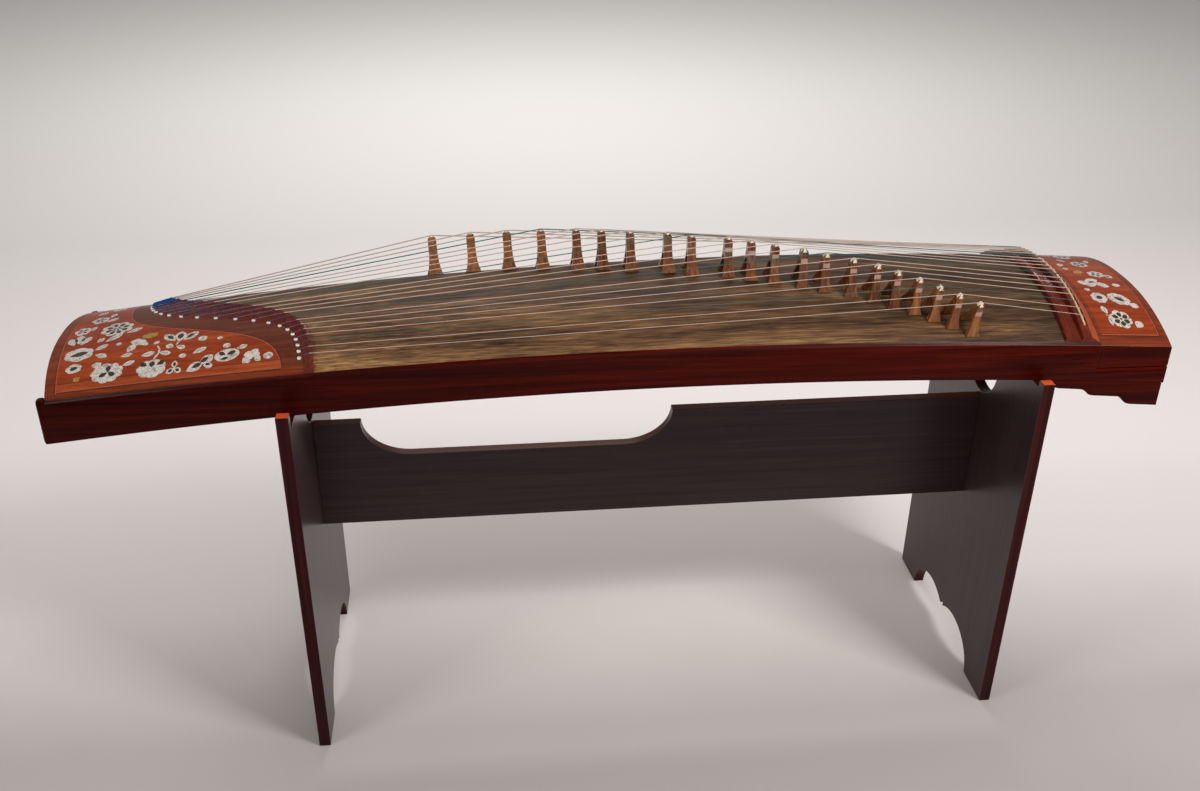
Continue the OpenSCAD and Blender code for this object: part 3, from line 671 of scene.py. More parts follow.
def build_front_nut():
    """The raised bar, the trench, the ridge that carries the bone strip, and the slope to the lid."""
    slot_half, slot_depth, step = 0.141, 0.015, 0.001
    slot_share = slot_half / (half_width(SLOT_X) - SIDE_RIM)

    def ring(s, depth):
        rise = nut_rise(s * (half_width(SLOT_X) - SIDE_RIM))
        bar = rise * 0.9
        line = [(0.0, 0.0)]
        # places as (distance along, share of the height): the bar, then the ridge and the slope
        line += [(run, bar * share) for run, share in (
            (0.0, 0.45), (0.5, 0.7), (1.6, 0.88), (3.4, 0.98), (5.5, 1), (8.0, 0.98), (10.0, 0.9),
            (11.6, 0.7), (12.8, 0.4))]
        line += [(13.8, 1.6 * MM), (16.0, 1.5 * MM), (22.0, 1.5 * MM), (24.4, 1.8 * MM)]
        line += [(run, rise * share) for run, share in (
            (25.4, 0.45), (26.2, 0.85), (27.2, 1), (29.0, 1), (32.0, 1), (35.9, 1))]
        line += [(36.0, rise - depth), (38.5, rise - depth), (38.6, rise), (39.6, rise - 0.2 * MM),
                 (41.0, rise - MM), (44.0, rise * 0.72), (48.0, rise * 0.38), (51.0, rise * 0.14),
                 (53.0, 0.4 * MM), (53.0, -BOARD_THICKNESS), (0.0, -BOARD_THICKNESS)]
        places = [(NUT_START + run * MM, lift) for run, lift in line]
        return [skin(x, s * board_half(x), lift) for x, lift in places]

    rings = [ring(s, 0.0) for s in spread(-1, -slot_share - step, 10)]
    rings += [ring(s, slot_depth) for s in spread(-slot_share, slot_share, 80)]
    rings += [ring(s, 0.0) for s in spread(slot_share + step, 1, 10)]
    points, faces = loft(rings)
    kinds = []
    for face in faces:
        middle = sum(points[i].x for i in face) / len(face)
        kinds.append(1 if middle > SLOT_X + 3.4 * MM and len(face) == 4 else 0)
    finish_mesh("front_nut_rail", (points, faces), [NUT_WOOD, SLOPE_WOOD], "instrument", kinds, 40,
                node="front_nut")


def build_bone_strip():
    inset = 24 * MM
    line = [(-3.6, 0.1), (-3.6, 2.3), (-3.3, 2.75), (-2.8, 3.0), (-1.6, 3.0), (-1.2, 2.6), (-0.9, 2.0),
            (-0.6, 0.1)]

    def ring(s):
        rise = nut_rise(s * (half_width(SLOT_X) - inset))
        places = [(SLOT_X + dx * MM, rise + lift * MM) for dx, lift in line]
        return [skin(x, s * (half_width(x) - inset), lift) for x, lift in places]

    finish_mesh("bone_strip", swept(ring, 70), [BONE], sharp=45, node="nut_bone")


def build_lid():
    """The lid is a sheet round its outside and another round its inside, joined along the open edges."""
    columns = spread(-1, 1, 60)

    def sheet(x_places, inset, drop):
        rows = []
        for x in x_places + x_places[-1:]:
            width = half_width(x) - inset
            end = len(rows) == len(x_places)
            heights = [LID_BASE_Z if end else skin_z(x, s * width) - drop for s in columns]
            places = [(-width, LID_BASE_Z)] + [(s * width, z) for s, z in zip(columns, heights)]
            rows.append([Vector((x, y, z)) for y, z in places + [(width, LID_BASE_Z)]])
        return rows

    outer = sheet(spread(LID_START, END_X, 24), 0.0, 0.0)
    inner = sheet(spread(LID_START, END_X - SKIRT_THICKNESS, 24), SKIRT_THICKNESS, LID_THICKNESS)
    made = finish_mesh("lid_shell", slab(outer, inner), [PANEL_FRAME, SIDE_WOOD, INNER_WOOD], "lid", sharp=35,
                       bevel=1.3 * MM, node="head_lid")
    for polygon in made.data.polygons:
        centre, up = polygon.center, polygon.normal.z
        outside = centre.z > skin_z(centre.x, centre.y) - 2 * MM and up > 0.3
        skirt = abs(abs(centre.y) - half_width(centre.x)) < MM or centre.x > END_X - MM or up < -0.9
        polygon.material_index = 0 if outside else (1 if skirt else 2)

    left, right, side = LID_START + 6 * MM, 0.7975, 0.1555

    def field(lift):
        return [[skin(x, y, lift) for x in spread(left, right, 16)] for y in spread(-side, side, 60)]

    finish_mesh("lid_field", slab(field(0.12 * MM), field(-0.4 * MM)), [PANEL_GROUND], "lid")

    def border(out, width, lift):
        """The field's two long edges and its end, a little outside it."""
        ends = spread(left, right + out, 20)
        across = spread(-side - out, side + out, 60)
        edges = [[(x, y) for x in ends] for y in (-side - out, side + out)]
        return [(edge, width, lift) for edge in edges + [[(right + out, y) for y in across]]]

    finish_lines("lid_light_line", border(0.0, 1.2 * MM, 0.22 * MM), LIGHT_LINE, "lid")
    finish_lines("lid_dark_line", border(1.6 * MM, 1.0 * MM, 0.17 * MM), DARK_LINE, "lid")


def build_lid_hinges():
    """Two barrels at the end face, each with a leaf on the lid."""
    radius, half = 1.9 * MM, 6.6 * MM
    barrel_x, barrel_z = HALF_LENGTH - 1.95 * MM, 0.6105
    parts = []
    for y in (-0.09, 0.09):
        parts.append(loft([circle(Vector((barrel_x, y + dy * MM, barrel_z)), Vector((radius, 0, 0)),
                                  Vector((0, 0, radius))) for dy in (-6.5, -5.9, 5.9, 6.5)]))
        leaf = ((END_X, -half), (END_X + MM, -half), (END_X + MM, half), (END_X, half))
        parts.append(loft([[Vector((x, y + dy, z)) for x, dy in leaf]
                           for z in (barrel_z + 0.6 * MM, barrel_z + 9.4 * MM)]))
    finish_mesh("lid_hinge_leaves", joined(parts), [BRASS], "lid", sharp=40)


def build_head_feet():
    """The carved apron under the head: one board along each side and one across the end."""
    # how far the boards' lower edge hangs under the body, in millimetres: (x, depth)
    steps = [(640, 6), (642, 9.5), (645, 12), (650, 13), (684, 14), (688, 15), (692, 17.5), (697, 22),
             (701, 23.6), (706, 24.2), (744, 25), (748, 26), (751, 28.5), (755, 33), (759, 36), (765, 37.4),
             (808, 38)]
    thick, small = 14 * MM, 0.3 * MM
    parts = []
    for side in (-1, 1):
        rings = []
        for x_mm, depth in steps:
            x = x_mm * MM
            low, top = base_z(x) - depth * MM, base_z(x) - FIT_GAP
            rings.append(board_slice(x, side, [
                (0.0, top), (0.0, low + MM), (small, low + small), (MM, low), (thick - MM, low),
                (thick - small, low + small), (thick, low + MM), (thick, top)]))
        parts.append(loft(rings))
    x0, x1 = END_X - 17 * MM, END_X - 3 * MM
    top = base_z(END_X - SIDE_THICKNESS) - 2 * FIT_GAP
    rings = []
    for s in spread(-1, 1, 60):
        low = base_z(x1) - (14 + 24 * s ** 8) * MM
        line = [(x0, top), (x1, top), (x1, low + MM), (x1 - small, low + small), (x1 - MM, low),
                (x0 + MM, low), (x0, low + MM)]
        rings.append([Vector((x, s * (half_width(x) - thick - 2 * FIT_GAP), z)) for x, z in line])
    parts.append(loft(rings))
    finish_mesh("head_apron", joined(parts), [SIDE_WOOD], sharp=38, node="head_feet")


# ---- inlays ----


def patch(outline, centre, lift, depth=0.0005):
    """A thin piece let into the skin: outline is a closed star-shaped line of (x, y) places."""
    cx, cy = centre
    rings = [[skin(x, y, lift - depth) for x, y in outline]]
    for share in (1.0, 0.75, 0.5, 0.25):
        rings.append([skin(cx + share * (x - cx), cy + share * (y - cy), lift) for x, y in outline])
    points, faces = loft(rings)
    tip = len(points)
    rim = faces.pop()
    faces += [(a, b, tip) for a, b in zip(rim, rim[1:] + rim[:1])]
    return points + [skin(cx, cy, lift)], faces


class Inlay:
    """Collects the pearl and dark pieces of one inlaid field. Sizes are in millimetres."""

    def __init__(self, lift):
        self.lift = lift
        self.parts = {"pearl": [], "dark": [], "gold": []}

    def put(self, shape, place, angle=0.0, kind="pearl"):
        """Dark pieces stand a hair above the pearl ones."""
        c, s = cos(radians(angle)) * MM, sin(radians(angle)) * MM
        outline = [(place[0] * MM + x * c - y * s, place[1] * MM + x * s + y * c) for x, y in shape]
        middle = [sum(p[k] for p in outline) / len(outline) for k in (0, 1)]
        lift = self.lift + (0.12 * MM if kind == "dark" else 0.0)
        self.parts[kind].append(patch(outline, middle, lift))

    def oval(self, x, y, length, width, angle=0.0, kind="pearl"):
        shape = [(length / 2 * cos(a), width / 2 * sin(a)) for a in angles(28)]
        self.put(shape, (x, y), angle, kind)

    def drop(self, x, y, length, width, angle=0.0, kind="pearl"):
        """A petal or leaf: pointed at both ends, widest a little beyond the middle."""
        upper = [(length * (t - 0.5), width / 2 * sin(pi * t ** 1.2) ** 0.8) for t in spread(0, 1, 12)]
        self.put(upper + [(x, -y) for x, y in reversed(upper[1:-1])], (x, y), angle, kind)

    def drops(self, *rows):
        for row in rows:
            self.drop(*row)

    def seeds(self, *rows):
        """Dark drops."""
        for row in rows:
            self.drop(*row, "dark")

    def dots(self, *rows):
        for row in rows:
            self.oval(*row)

    def scallop(self, x, y, length, width, lobes, depth=0.12, angle=0.0, kind="pearl"):
        shape = []
        for a in angles(lobes * 10):
            reach = 1 - depth + depth * abs(sin(a * lobes / 2)) ** 0.7 * 1.6
            shape.append((length / 2 * reach * cos(a), width / 2 * reach * sin(a)))
        self.put(shape, (x, y), angle, kind)

    def petals(self, x, y, reach, length, width, count, start=0.0):
        """Dark drops standing round a centre. reach is how far out they stand."""
        for k in range(count):
            turn = start + 360 / count * k
            a = radians(turn)
            self.drop(x + reach * cos(a), y + reach * sin(a), length, width, turn, "dark")

    def leaves(self, *rows):
        """Leaves with their dark midribs: (x, y, length, width, angle)."""
        for x, y, length, width, angle in rows:
            self.drop(x, y, length, width, angle)
            self.oval(x, y, length * 0.62, 0.7, angle, "dark")

    def stalk(self, width, *path):
        """A thin curved stalk through the places of path."""
        for (x0, y0), (x1, y1) in zip(path, path[1:]):
            angle = degrees(atan2(y1 - y0, x1 - x0))
            self.oval((x0 + x1) / 2, (y0 + y1) / 2, hypot(x1 - x0, y1 - y0) * 1.15, width, angle)

    def build(self, name, body):
        for kind, material in (("pearl", PEARL), ("dark", DARK_PETAL), ("gold", GOLD_SHELL)):
            if self.parts[kind]:
                finish_mesh(f"{name}_{kind}", joined(self.parts[kind]), [material], body, sharp=50)


def build_tail_inlay():
    field = Inlay(PANEL_THICKNESS + 0.18 * MM)
    # large scalloped flower with three dark petals
    field.scallop(-723, -114, 43, 33, 9, 0.1)
    field.petals(-722, -114, 6.5, 12, 7, 3, 90)
    field.scallop(-740, -97, 13, 10, 5)
    # fruit with a crown of three dark seeds, on a stalk with two leaves
    field.scallop(-661, -117, 40, 30, 7, 0.08)
    field.seeds((-673, -109, 12, 7.5, 150), (-661, -110, 11, 8, 90), (-649, -109, 12, 7.5, 30))
    field.stalk(3, (-660, -100), (-655, -90), (-655, -81), (-659, -74))
    field.leaves((-695, -102, 18, 8, 20), (-670, -89, 20, 10, 12), (-646, -91, 18, 9, -14))
    # trefoil
    for angle in (90, 210, 330):
        a = radians(angle)
        x, y = -629 + 5.5 * cos(a), -122 + 6.5 * sin(a)
        field.drop(x, y, 13, 9, angle)
        field.seeds((x, y, 7, 4.4, angle))
    # butterfly flower
    field.drops((-601, -124, 24, 15, 28), (-585, -114, 22, 15, 40), (-582, -124, 14, 9, -10))
    field.seeds((-598, -122, 14, 7, 28), (-588, -114, 13, 7, 42), (-583, -122, 7, 4, -10))
    # oval flower with three dark petals
    field.oval(-557, -110, 35, 21, 8)
    field.seeds((-564, -107, 11, 6.5, 150), (-551, -107, 13, 7, 20), (-560, -116, 11, 5, 10))
    field.leaves((-537, -98, 15, 8, 15))
    field.oval(-559, -92, 11, 9)
    # curled leaf near the end
    field.scallop(-522, -114, 22, 15, 4, 0.2, 20)
    field.scallop(-529, -123, 12, 10, 4, 0.2)
    field.drop(-514, -121, 14, 9, -50)
    field.oval(-499, -119, 14, 11)
    # fan-shaped flower with two leaves under it
    field.drops((-644, -58, 26, 14, 135), (-629, -58, 24, 17, 90), (-614, -60, 26, 14, 40))
    field.seeds((-643, -58, 14, 6.5, 135), (-629, -58, 14, 9, 90), (-615, -60, 14, 6.5, 40))
    field.leaves((-641, -78, 13, 10, 150), (-625, -83, 14, 9, -20))
    field.stalk(2, (-630, -70), (-632, -78))
    field.dots((-596, -70, 13, 11), (-571, -74, 8, 6), (-620, -101, 10, 8))
    field.leaves((-597, -95, 21, 9, 25), (-701, -85, 17, 8, 12))
    # curled bud
    field.scallop(-689, -58, 22, 15, 5, 0.15, -20)
    field.drops((-697, -71, 18, 12, 60), (-679, -64, 13, 8, -40), (-662, -66, 10, 7, 30))
    field.oval(-717, -56, 8, 7)
    field.scallop(-675, -45, 22, 13, 6, 0.15, 8, "gold")
    # many-petalled flower
    field.scallop(-730, -8, 44, 40, 8, 0.14)
    field.petals(-730, -8, 12, 11, 7, 8, 22)
    field.petals(-730, -8, 4.2, 5, 3, 5)
    field.leaves((-728, -36, 28, 11, 40), (-702, -22, 24, 10, 25), (-747, -38, 14, 9, 50))
    # long flower with its leaves
    field.scallop(-771, -68, 40, 30, 6, 0.08)
    field.seeds((-771, -68, 26, 10, 12))
    field.leaves((-741, -58, 20, 10, 30), (-738, -78, 20, 10, -25))
    # tulip
    field.drops((-789, -32, 24, 12, 115), (-779, -27, 26, 14, 95), (-769, -33, 24, 12, 60))
    field.seeds((-784, -29, 12, 5, 105), (-774, -29, 12, 5, 80))
    # flowers at the far side
    field.scallop(-782, 0, 22, 24, 5, 0.15)
    field.petals(-782, 0, 5, 7, 4.5, 4, 45)
    field.scallop(-765, 36, 24, 24, 5, 0.15)
    field.petals(-765, 36, 5, 7, 4.5, 5, 10)
    field.scallop(-752, 92, 20, 20, 6, 0.14)
    field.petals(-752, 92, 4.6, 6, 4, 5)
    field.leaves((-768, 4, 16, 9, 60), (-746, 30, 20, 10, 35), (-750, 52, 18, 9, 80),
                 (-772, 74, 20, 10, 60), (-762, 114, 18, 9, 110))
    # small oval flower by the near corner
    field.scallop(-772, -98, 22, 17, 5, 0.08)
    field.oval(-772, -98, 10, 7, 15, "dark")
    field.scallop(-764, -119, 9, 8, 4, 0.2, 0, "gold")
    field.build("tail_inlay", "instrument")


def build_lid_inlay():
    field = Inlay(0.3 * MM)
    # six-petalled round flower
    field.scallop(750, -127, 31, 33, 6, 0.12, 15)
    field.petals(750, -127, 8.5, 10, 7.5, 6, 30)
    field.oval(750, -127, 4, 4, 0, "dark")
    field.leaves((731, -109, 17, 9, 100), (733, -131, 18, 8, 85))
    field.stalk(1.6, (729, -119), (735, -121), (740, -122))
    field.drop(774, -137, 15, 13, 50)
    # round flower and oval flower
    field.scallop(735, -80, 24, 25, 8, 0.08)
    field.scallop(766, -82, 34, 26, 7, 0.08, -35)
    field.seeds((735, -80, 12, 9, 30), (766, -82, 17, 8.5, -40))
    field.drop(783, -97, 16, 12, -30)
    field.stalk(2.4, (748, -80), (753, -79))
    # large open flower
    field.drops((730, -38, 22, 13, 160), (744, -30, 26, 15, 20), (756, -42, 24, 14, -35),
                (740, -43, 22, 12, 200))
    field.seeds((742, -35, 12, 5, 15))
    field.dots((780, -42, 13, 10), (725, -59, 9, 7))
    # flower of oval petals
    field.scallop(765, -4, 26, 22, 6, 0.1)
    field.petals(765, -4, 5, 7, 4.5, 4, 20)
    field.drop(782, -11, 16, 11, -40)
    field.seeds((782, -11, 8, 4.5, -40))
    field.scallop(738, 2, 18, 12, 5, 0.15, 30, "gold")
    # flowers towards the far side
    field.oval(724, 15, 9, 8)
    field.scallop(758, 40, 26, 26, 6, 0.12)
    field.petals(758, 40, 6.5, 8, 5.5, 6)
    field.scallop(752, 88, 26, 28, 7, 0.1)
    field.petals(752, 88, 6.5, 9, 5.5, 5, 18)
    field.scallop(750, 128, 20, 20, 5, 0.14)
    field.petals(750, 128, 4.6, 6, 4, 5)
    field.leaves((722, 32, 16, 10, 60), (778, 56, 18, 9, 70), (736, 58, 18, 9, 120),
                 (734, 104, 18, 9, 100), (774, 108, 18, 9, 60))
    field.build("lid_inlay", "lid")


# ---- bridges ----

# the share of its height at which a bridge's round top starts
SHOULDER = 0.88


def bridge_y(n):
    return (-141 + 12.6 * (n - 1)) * MM


def bridge_height(n):
    return (53 + 7 * (n - 1) / (STRINGS - 1)) * MM


def bridge_foot(n):
    return (19 + 5 * (n - 1) / (STRINGS - 1)) * MM


def bridge_matrix(n):
    x, y = BRIDGE_X[n - 1] * MM, bridge_y(n)
    across = Matrix.Rotation(atan(slope_across(x, y)), 4, "X")
    along = Matrix.Rotation(-atan(slope_along(x, y)), 4, "Y")
    return Matrix.Translation(skin(x, y)) @ across @ along @ Matrix.Translation((0, 0, TOUCH_GAP))


def bridge_tip(n):
    return bridge_matrix(n) @ Vector((0, 0, bridge_height(n)))


def outer_reach(z, height):
    """Half of the bridge's span across the body at height z."""
    if z > height * 0.93:
        return 0.005 - 0.002 * (z / height - 0.93) / 0.07
    return 0.005 + 0.015 * (1 - z / (height * 0.93)) ** 1.6


def half_run(z, height, foot):
    """Half of the bridge's length along the string at height z: slender, with a round top and flared feet."""
    neck, shoulder = foot * 0.55 / 2, height * SHOULDER
    if z > shoulder:
        share = min((z - shoulder) / (height - shoulder), 1.0)
        return max(neck * sqrt(1 - share * share), 0.0006)
    return neck + (foot / 2 - neck) * (1 - z / shoulder) ** 4


def bridge_body(height, foot):
    """Two legs joined above an arch, in rows of points from the foot to the top."""
    arch_top, arch_half, cells = height * 0.52, 0.011, 3
    points, faces, index = [], [], {}

    def quad(*corners):
        """A face through corners given as (place across, height, side); the same corner is one point."""
        for y, z, side in corners:
            key = (round(y * 1e7), round(z * 1e7), side)
            if key not in index:
                index[key] = len(points)
                points.append(Vector((side * half_run(z, height, foot), y, z)))
        faces.append(tuple(index[(round(y * 1e7), round(z * 1e7), side)] for y, z, side in corners))

    def end(row, z):
        for a, b in zip(row, row[1:]):
            quad((a, z, -1), (b, z, -1), (b, z, 1), (a, z, 1))

    def strip(rows):
        for (low, z0), (high, z1) in zip(rows, rows[1:]):
            for side in (-1, 1):
                for j in range(len(low) - 1):
                    quad((low[j], z0, side), (low[j + 1], z0, side),
                         (high[j + 1], z1, side), (high[j], z1, side))
            for j in (0, -1):
                quad((low[j], z0, -1), (high[j], z1, -1), (high[j], z1, 1), (low[j], z0, 1))

    for side in (-1, 1):
        rows = []
        for t in spread(0, 1, 14):
            z = arch_top * sin(pi / 2 * t)
            inner = arch_half * sqrt(max(1 - (z / arch_top) ** 2, 0.0))
            rows.append((spread(side * outer_reach(z, height), side * inner, cells), z))
        strip(rows)
        end(rows[0][0], 0.0)
    rows = []
    for z in spread(arch_top, height * SHOULDER, 10) + [height * (SHOULDER + (1 - SHOULDER) * sin(a))
                                                        for a in spread(0, pi / 2, 8)[1:]]:
        outer = outer_reach(z, height)
        rows.append((spread(-outer, 0, cells)[:-1] + spread(0, outer, cells), z))
    strip(rows)
    end(*rows[-1])
    return points, faces


def squared(x, y, z, a):
    """A place on a ring between an oval and a rectangle with half sides x and y, at angle a."""
    c, s = cos(a), sin(a)
    return Vector((x * copysign(abs(c) ** 0.5, c), y * copysign(abs(s) ** 0.5, s), z))


def bridge_cap(height, foot, depth):
    """The bone tip: it follows the round top a hair outside the wood."""
    over = 0.12 * MM
    rings = []
    for z in [height - depth] + [height - depth * (1 - sin(a)) for a in spread(0.12, pi / 2, 8)]:
        top = z + (over if z >= height - 0.01 * MM else 0.0)
        run, reach = half_run(z, height, foot) + over, outer_reach(z, height) + over
        rings.append([squared(run, reach, top, a) for a in angles(20)])
    return loft(rings)


def build_bridges():
    long_tips, labelled = 9, 12
    for n in range(1, STRINGS + 1):
        body = f"bridge_{n:02d}"
        height, foot, matrix = bridge_height(n), bridge_foot(n), bridge_matrix(n)

        def placed(shape):
            return [matrix @ p for p in shape[0]], shape[1]

        finish_mesh(f"{body}_wood", placed(bridge_body(height, foot)), [BRIDGE_WOOD], body, sharp=40,
                    bevel=0.7 * MM, node=body)
        cap = bridge_cap(height, foot, (4.5 if n <= long_tips else 2.0) * MM)
        finish_mesh(f"{body}_tip", placed(cap), [CAP_BONE], body, sharp=50)
        if n <= labelled:
            low, high = height - 20.5 * MM, height - 14 * MM
            run = half_run(high, height, foot) * 0.86

            def on_leg(p, side):
                return Vector((p[0], -outer_reach(p[1], height) - (0.6 * side - 0.3) * MM, p[1]))

            label = plate([(-run, low), (run, low), (run, high), (-run, high)], on_leg)
            finish_mesh(f"{body}_label", placed(label), [LABEL], body)


# ---- strings ----


def string_radius(n):
    return (0.45 + 0.025 * (n - 1)) * MM


def ferrule_y(n):
    return (-130 + 11 * (n - 1)) * MM


def nut_y(n):
    return 13.5 * (n - 11) * MM


def pin_place(n):
    return (742 if n % 2 else 772) * MM, nut_y(n)


def string_points(n):
    """Ferrule, rear nut, bridge, bone, the slot and the pin, as in part.scad."""
    r, fy = string_radius(n), ferrule_y(n)
    fx = ferrule_line(fy)
    tip = bridge_tip(n)
    w = nut_y(n)
    cx = nut_line(fy + 4 * MM) - 5 * MM
    cy = fy + (tip.y - fy) * (cx - fx) / (tip.x - fx)
    rise = nut_rise(w) + BONE_HEIGHT
    px, py = pin_place(n)
    return [skin(fx, fy, PANEL_THICKNESS + 2.2 * MM + r),
            skin(cx, cy, REAR_NUT_HEIGHT + 0.1 * MM + r),
            tip + Vector((0, 0, 0.2 * MM + r)),
            skin(SLOT_X - MM, w, rise + 0.1 * MM + r),
            skin(SLOT_X + SLOT_WIDTH / 2, w, rise - 3 * MM),
            skin(SLOT_X + SLOT_WIDTH / 2, w, -12 * MM),
            Vector((px, py + 3.15 * MM + r, 0.64))]


def sampled(points, step=0.03):
    """The same line with more points on it, about step apart."""
    path = [points[0]]
    for a, b in zip(points, points[1:]):
        count = max(1, round((b - a).length / step))
        path += [a + (b - a) * k / count for k in range(1, count + 1)]
    return path


def build_strings():
    last_near = 18
    wraps = ([], [])
    for n in range(1, STRINGS + 1):
        material = STRING_GREEN if n in GREEN_STRINGS else STRING_WHITE
        r = string_radius(n)
        ferrule, crest, tip, *rest = string_points(n)
        for end, line, start in (("tail", [ferrule, crest, tip], crest), ("head", [tip] + rest, rest[0])):
            made = finish_mesh(f"string_{n:02d}_{end}", tube(sampled(line), r), [material], None)
            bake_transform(made)
            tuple(start)
            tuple(tip)
            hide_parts("strings")
        # the wrapped end, thicker by the wrapping and a little wavy
        count = int((crest - ferrule).length / (0.4 * MM))
        path = [ferrule + (crest - ferrule) * k / count for k in range(count + 1)]
        wrapping = (0.35 if n > last_near else 0.04) * MM
        wraps[n > last_near].append(tube(path, [r + wrapping + 0.06 * MM * sin(TAU * k / 4)
                                                for k in range(count + 1)]))
    for name, parts, material in (("near", wraps[0], WRAP_VIOLET), ("far", wraps[1], WRAP_BLUE)):
        finish_mesh("string_wraps_" + name, joined(parts), [material])


def coil(x, y, r):
    """Four turns of string round the tuning pin at x, y."""
    reach, points_per_turn = 3.2 * MM + r, 20
    path = []
    for k in range(4 * points_per_turn + 1):
        a = TAU * k / points_per_turn
        path.append(Vector((x + reach * cos(a), y + reach * sin(a),
                            0.6372 - 2 * r * k / points_per_turn)))
    return tube(path, r, 6)


def build_coils():
    coils = [coil(*pin_place(n), string_radius(n)) for n in range(1, STRINGS + 1)]
    finish_mesh("string_coils", joined(coils), [STRING_WHITE])


def build_beads():
    """A bead with a hole where each string leaves the tail."""
    profile = [(0.5, -0.4), (2.6, -0.4), (3.0, 0.3), (3.0, 1.0), (2.6, 1.7), (1.9, 2.1), (1.1, 2.2),
               (0.5, 1.9)]
    parts = []
    for n in range(1, STRINGS + 1):
        y = ferrule_y(n)
        x = ferrule_line(y)
        along, across, out = skin_frame(x, y)
        centre = skin(x, y, PANEL_THICKNESS + 0.2 * MM)
        parts.append(loft([[centre + (direction * r + out * h) * MM for r, h in profile]
                           for direction in circle(Vector(), along, across, 20)], closed=True))
    finish_mesh("string_beads", joined(parts), [BEAD], sharp=50, node="string_ferrules")


def build_pins():
    """A round shank with a square head."""
    for n in range(1, STRINGS + 1):
        x, y = pin_place(n)
        rings = [circle(Vector((x, y, z * MM)), Vector((r * MM, 0, 0)), Vector((0, r * MM, 0)))
                 for z, r in ((605.0, 2.6), (605.4, 2.98), (640.2, 2.98), (640.8, 2.7))]
        for z, half in ((641.2, 2.08), (649.2, 1.95), (650.0, 1.4)):
            rings.append([])
            for a in angles():
                c, s = cos(a), sin(a)
                reach = half * min(1 / max(abs(c), abs(s)), 1.3)
                rings[-1].append(Vector((x + reach * MM * c, y + reach * MM * s, z * MM)))
        node = f"pin_{n:02d}"
        finish_mesh(f"{node}_steel", loft(rings), [STEEL], node, sharp=30, node=node)


# ---- the stand ----


def leg_outline(top_z):
    lobe_centre, lobe_half, lobe_height = 0.055, 0.074, 0.062
    half, inner, horn, notch = 0.203, 0.187, 0.603, 0.055
    cusp_y, cusp_z = 0.005, 0.053
    full = [(lobe_centre + lobe_half * cos(a), lobe_height * sin(a))
            for a in spread(0, acos(-lobe_centre / lobe_half), 30)]
    # each lobe ends in a small square notch at the cusp between the two
    lobe = [p for p in full if p[0] > cusp_y + 0.2 * MM]
    lobe += [(cusp_y, lobe_height * sqrt(1 - ((cusp_y - lobe_centre) / lobe_half) ** 2)), (cusp_y, cusp_z)]
    line = [(half, 0.0), (half, horn), (inner, horn), (inner, top_z), (notch, top_z)]
    line += [(notch * cos(a), 0.545 - notch * sin(a)) for a in spread(0, pi, 36)]
    line += [(-notch, top_z), (-inner, top_z), (-inner, horn), (-half, horn), (-half, 0.0)]
    return line + [(-y, z) for y, z in lobe] + lobe[::-1]


def build_leg(node, x0, top_z):
    def place(p, side):
        return Vector((x0 + side * LEG_BOARD, p[0], p[1]))

    board = plate(leg_outline(top_z), place)
    made = finish_mesh(node + "_board", board, [LEG_FACE, LEG_EDGE, LEG_TOP_HIGHLIGHT], "stand", sharp=30,
                       bevel=1.2 * MM, node=node)
    for polygon in made.data.polygons:
        # upward faces high on the horns take the brighter wood with the painted highlight, the other edges
        # the edge wood, the broad faces the laminate
        highlight_or_edge = 2 if polygon.normal.z > 0.5 and polygon.center.z > 0.6 else 1
        polygon.material_index = 0 if abs(polygon.normal.x) > 0.5 else highlight_or_edge


def build_stretcher():
    """The long board, with a shallow hollow in its upper edge."""
    cut_from, cut_to, run, depth = -0.394, 0.099, 0.078, 0.06
    left, right = LEFT_LEG_X + FIT_GAP, RIGHT_LEG_X - FIT_GAP

    def corner(centre, first, last):
        return [(centre + run * cos(a), STRETCHER_TOP + depth * sin(a)) for a in spread(first, last, 24)]

    line = [(left, STRETCHER_BASE), (left, STRETCHER_TOP)]
    line += corner(cut_from + run, pi, 1.5 * pi) + corner(cut_to - run, 1.5 * pi, TAU)
    line += [(right, STRETCHER_TOP), (right, STRETCHER_BASE)]

    def place(p, side):
        return Vector((p[0], (side - 0.5) * LEG_BOARD, p[1]))

    made = finish_mesh("stretcher_board", plate(line, place), [SHADED_BEAM_FACE, BEAM_EDGE], "stand", sharp=30,
                       bevel=MM, node="stand_stretcher")
    # the broad faces take the darker laminate with the painted shade, the edges the edge wood
    for polygon in made.data.polygons:
        polygon.material_index = 0 if abs(polygon.normal.y) > 0.5 else 1


def build_bolts():
    # each ring of a bolt or a barrel nut, in millimetres: how far along it and its radius
    bolt = ((-58.0, 3.0), (0.0, 3.0), (0.0, 6.9), (2.2, 7.0), (3.4, 6.2), (4.0, 5.0), (4.0, 2.6), (1.8, 2.4))
    barrel = ((-8.5, 4.4), (-8.0, 5.0), (8.0, 5.0), (8.5, 4.4))

    def turned_piece(place, direction, profile):
        return loft([circle(place + direction * out * MM, Vector((r * MM, 0, 0)) if direction.y else
                            Vector((0, r * MM, 0)), Vector((0, 0, r * MM))) for out, r in profile])

    parts = []
    for z in BOLT_HEIGHTS:
        for inside, way in ((LEFT_LEG_X, -1), (RIGHT_LEG_X, 1)):
            parts.append(turned_piece(Vector((inside + way * LEG_BOARD, 0, z)), Vector((way, 0, 0)), bolt))
            parts.append(turned_piece(Vector((inside - way * 0.032, 0, z)), Vector((0, 1, 0)), barrel))
    finish_mesh("bolts_and_nuts", joined(parts), [STEEL], "stand", sharp=35, node="stand_bolts")


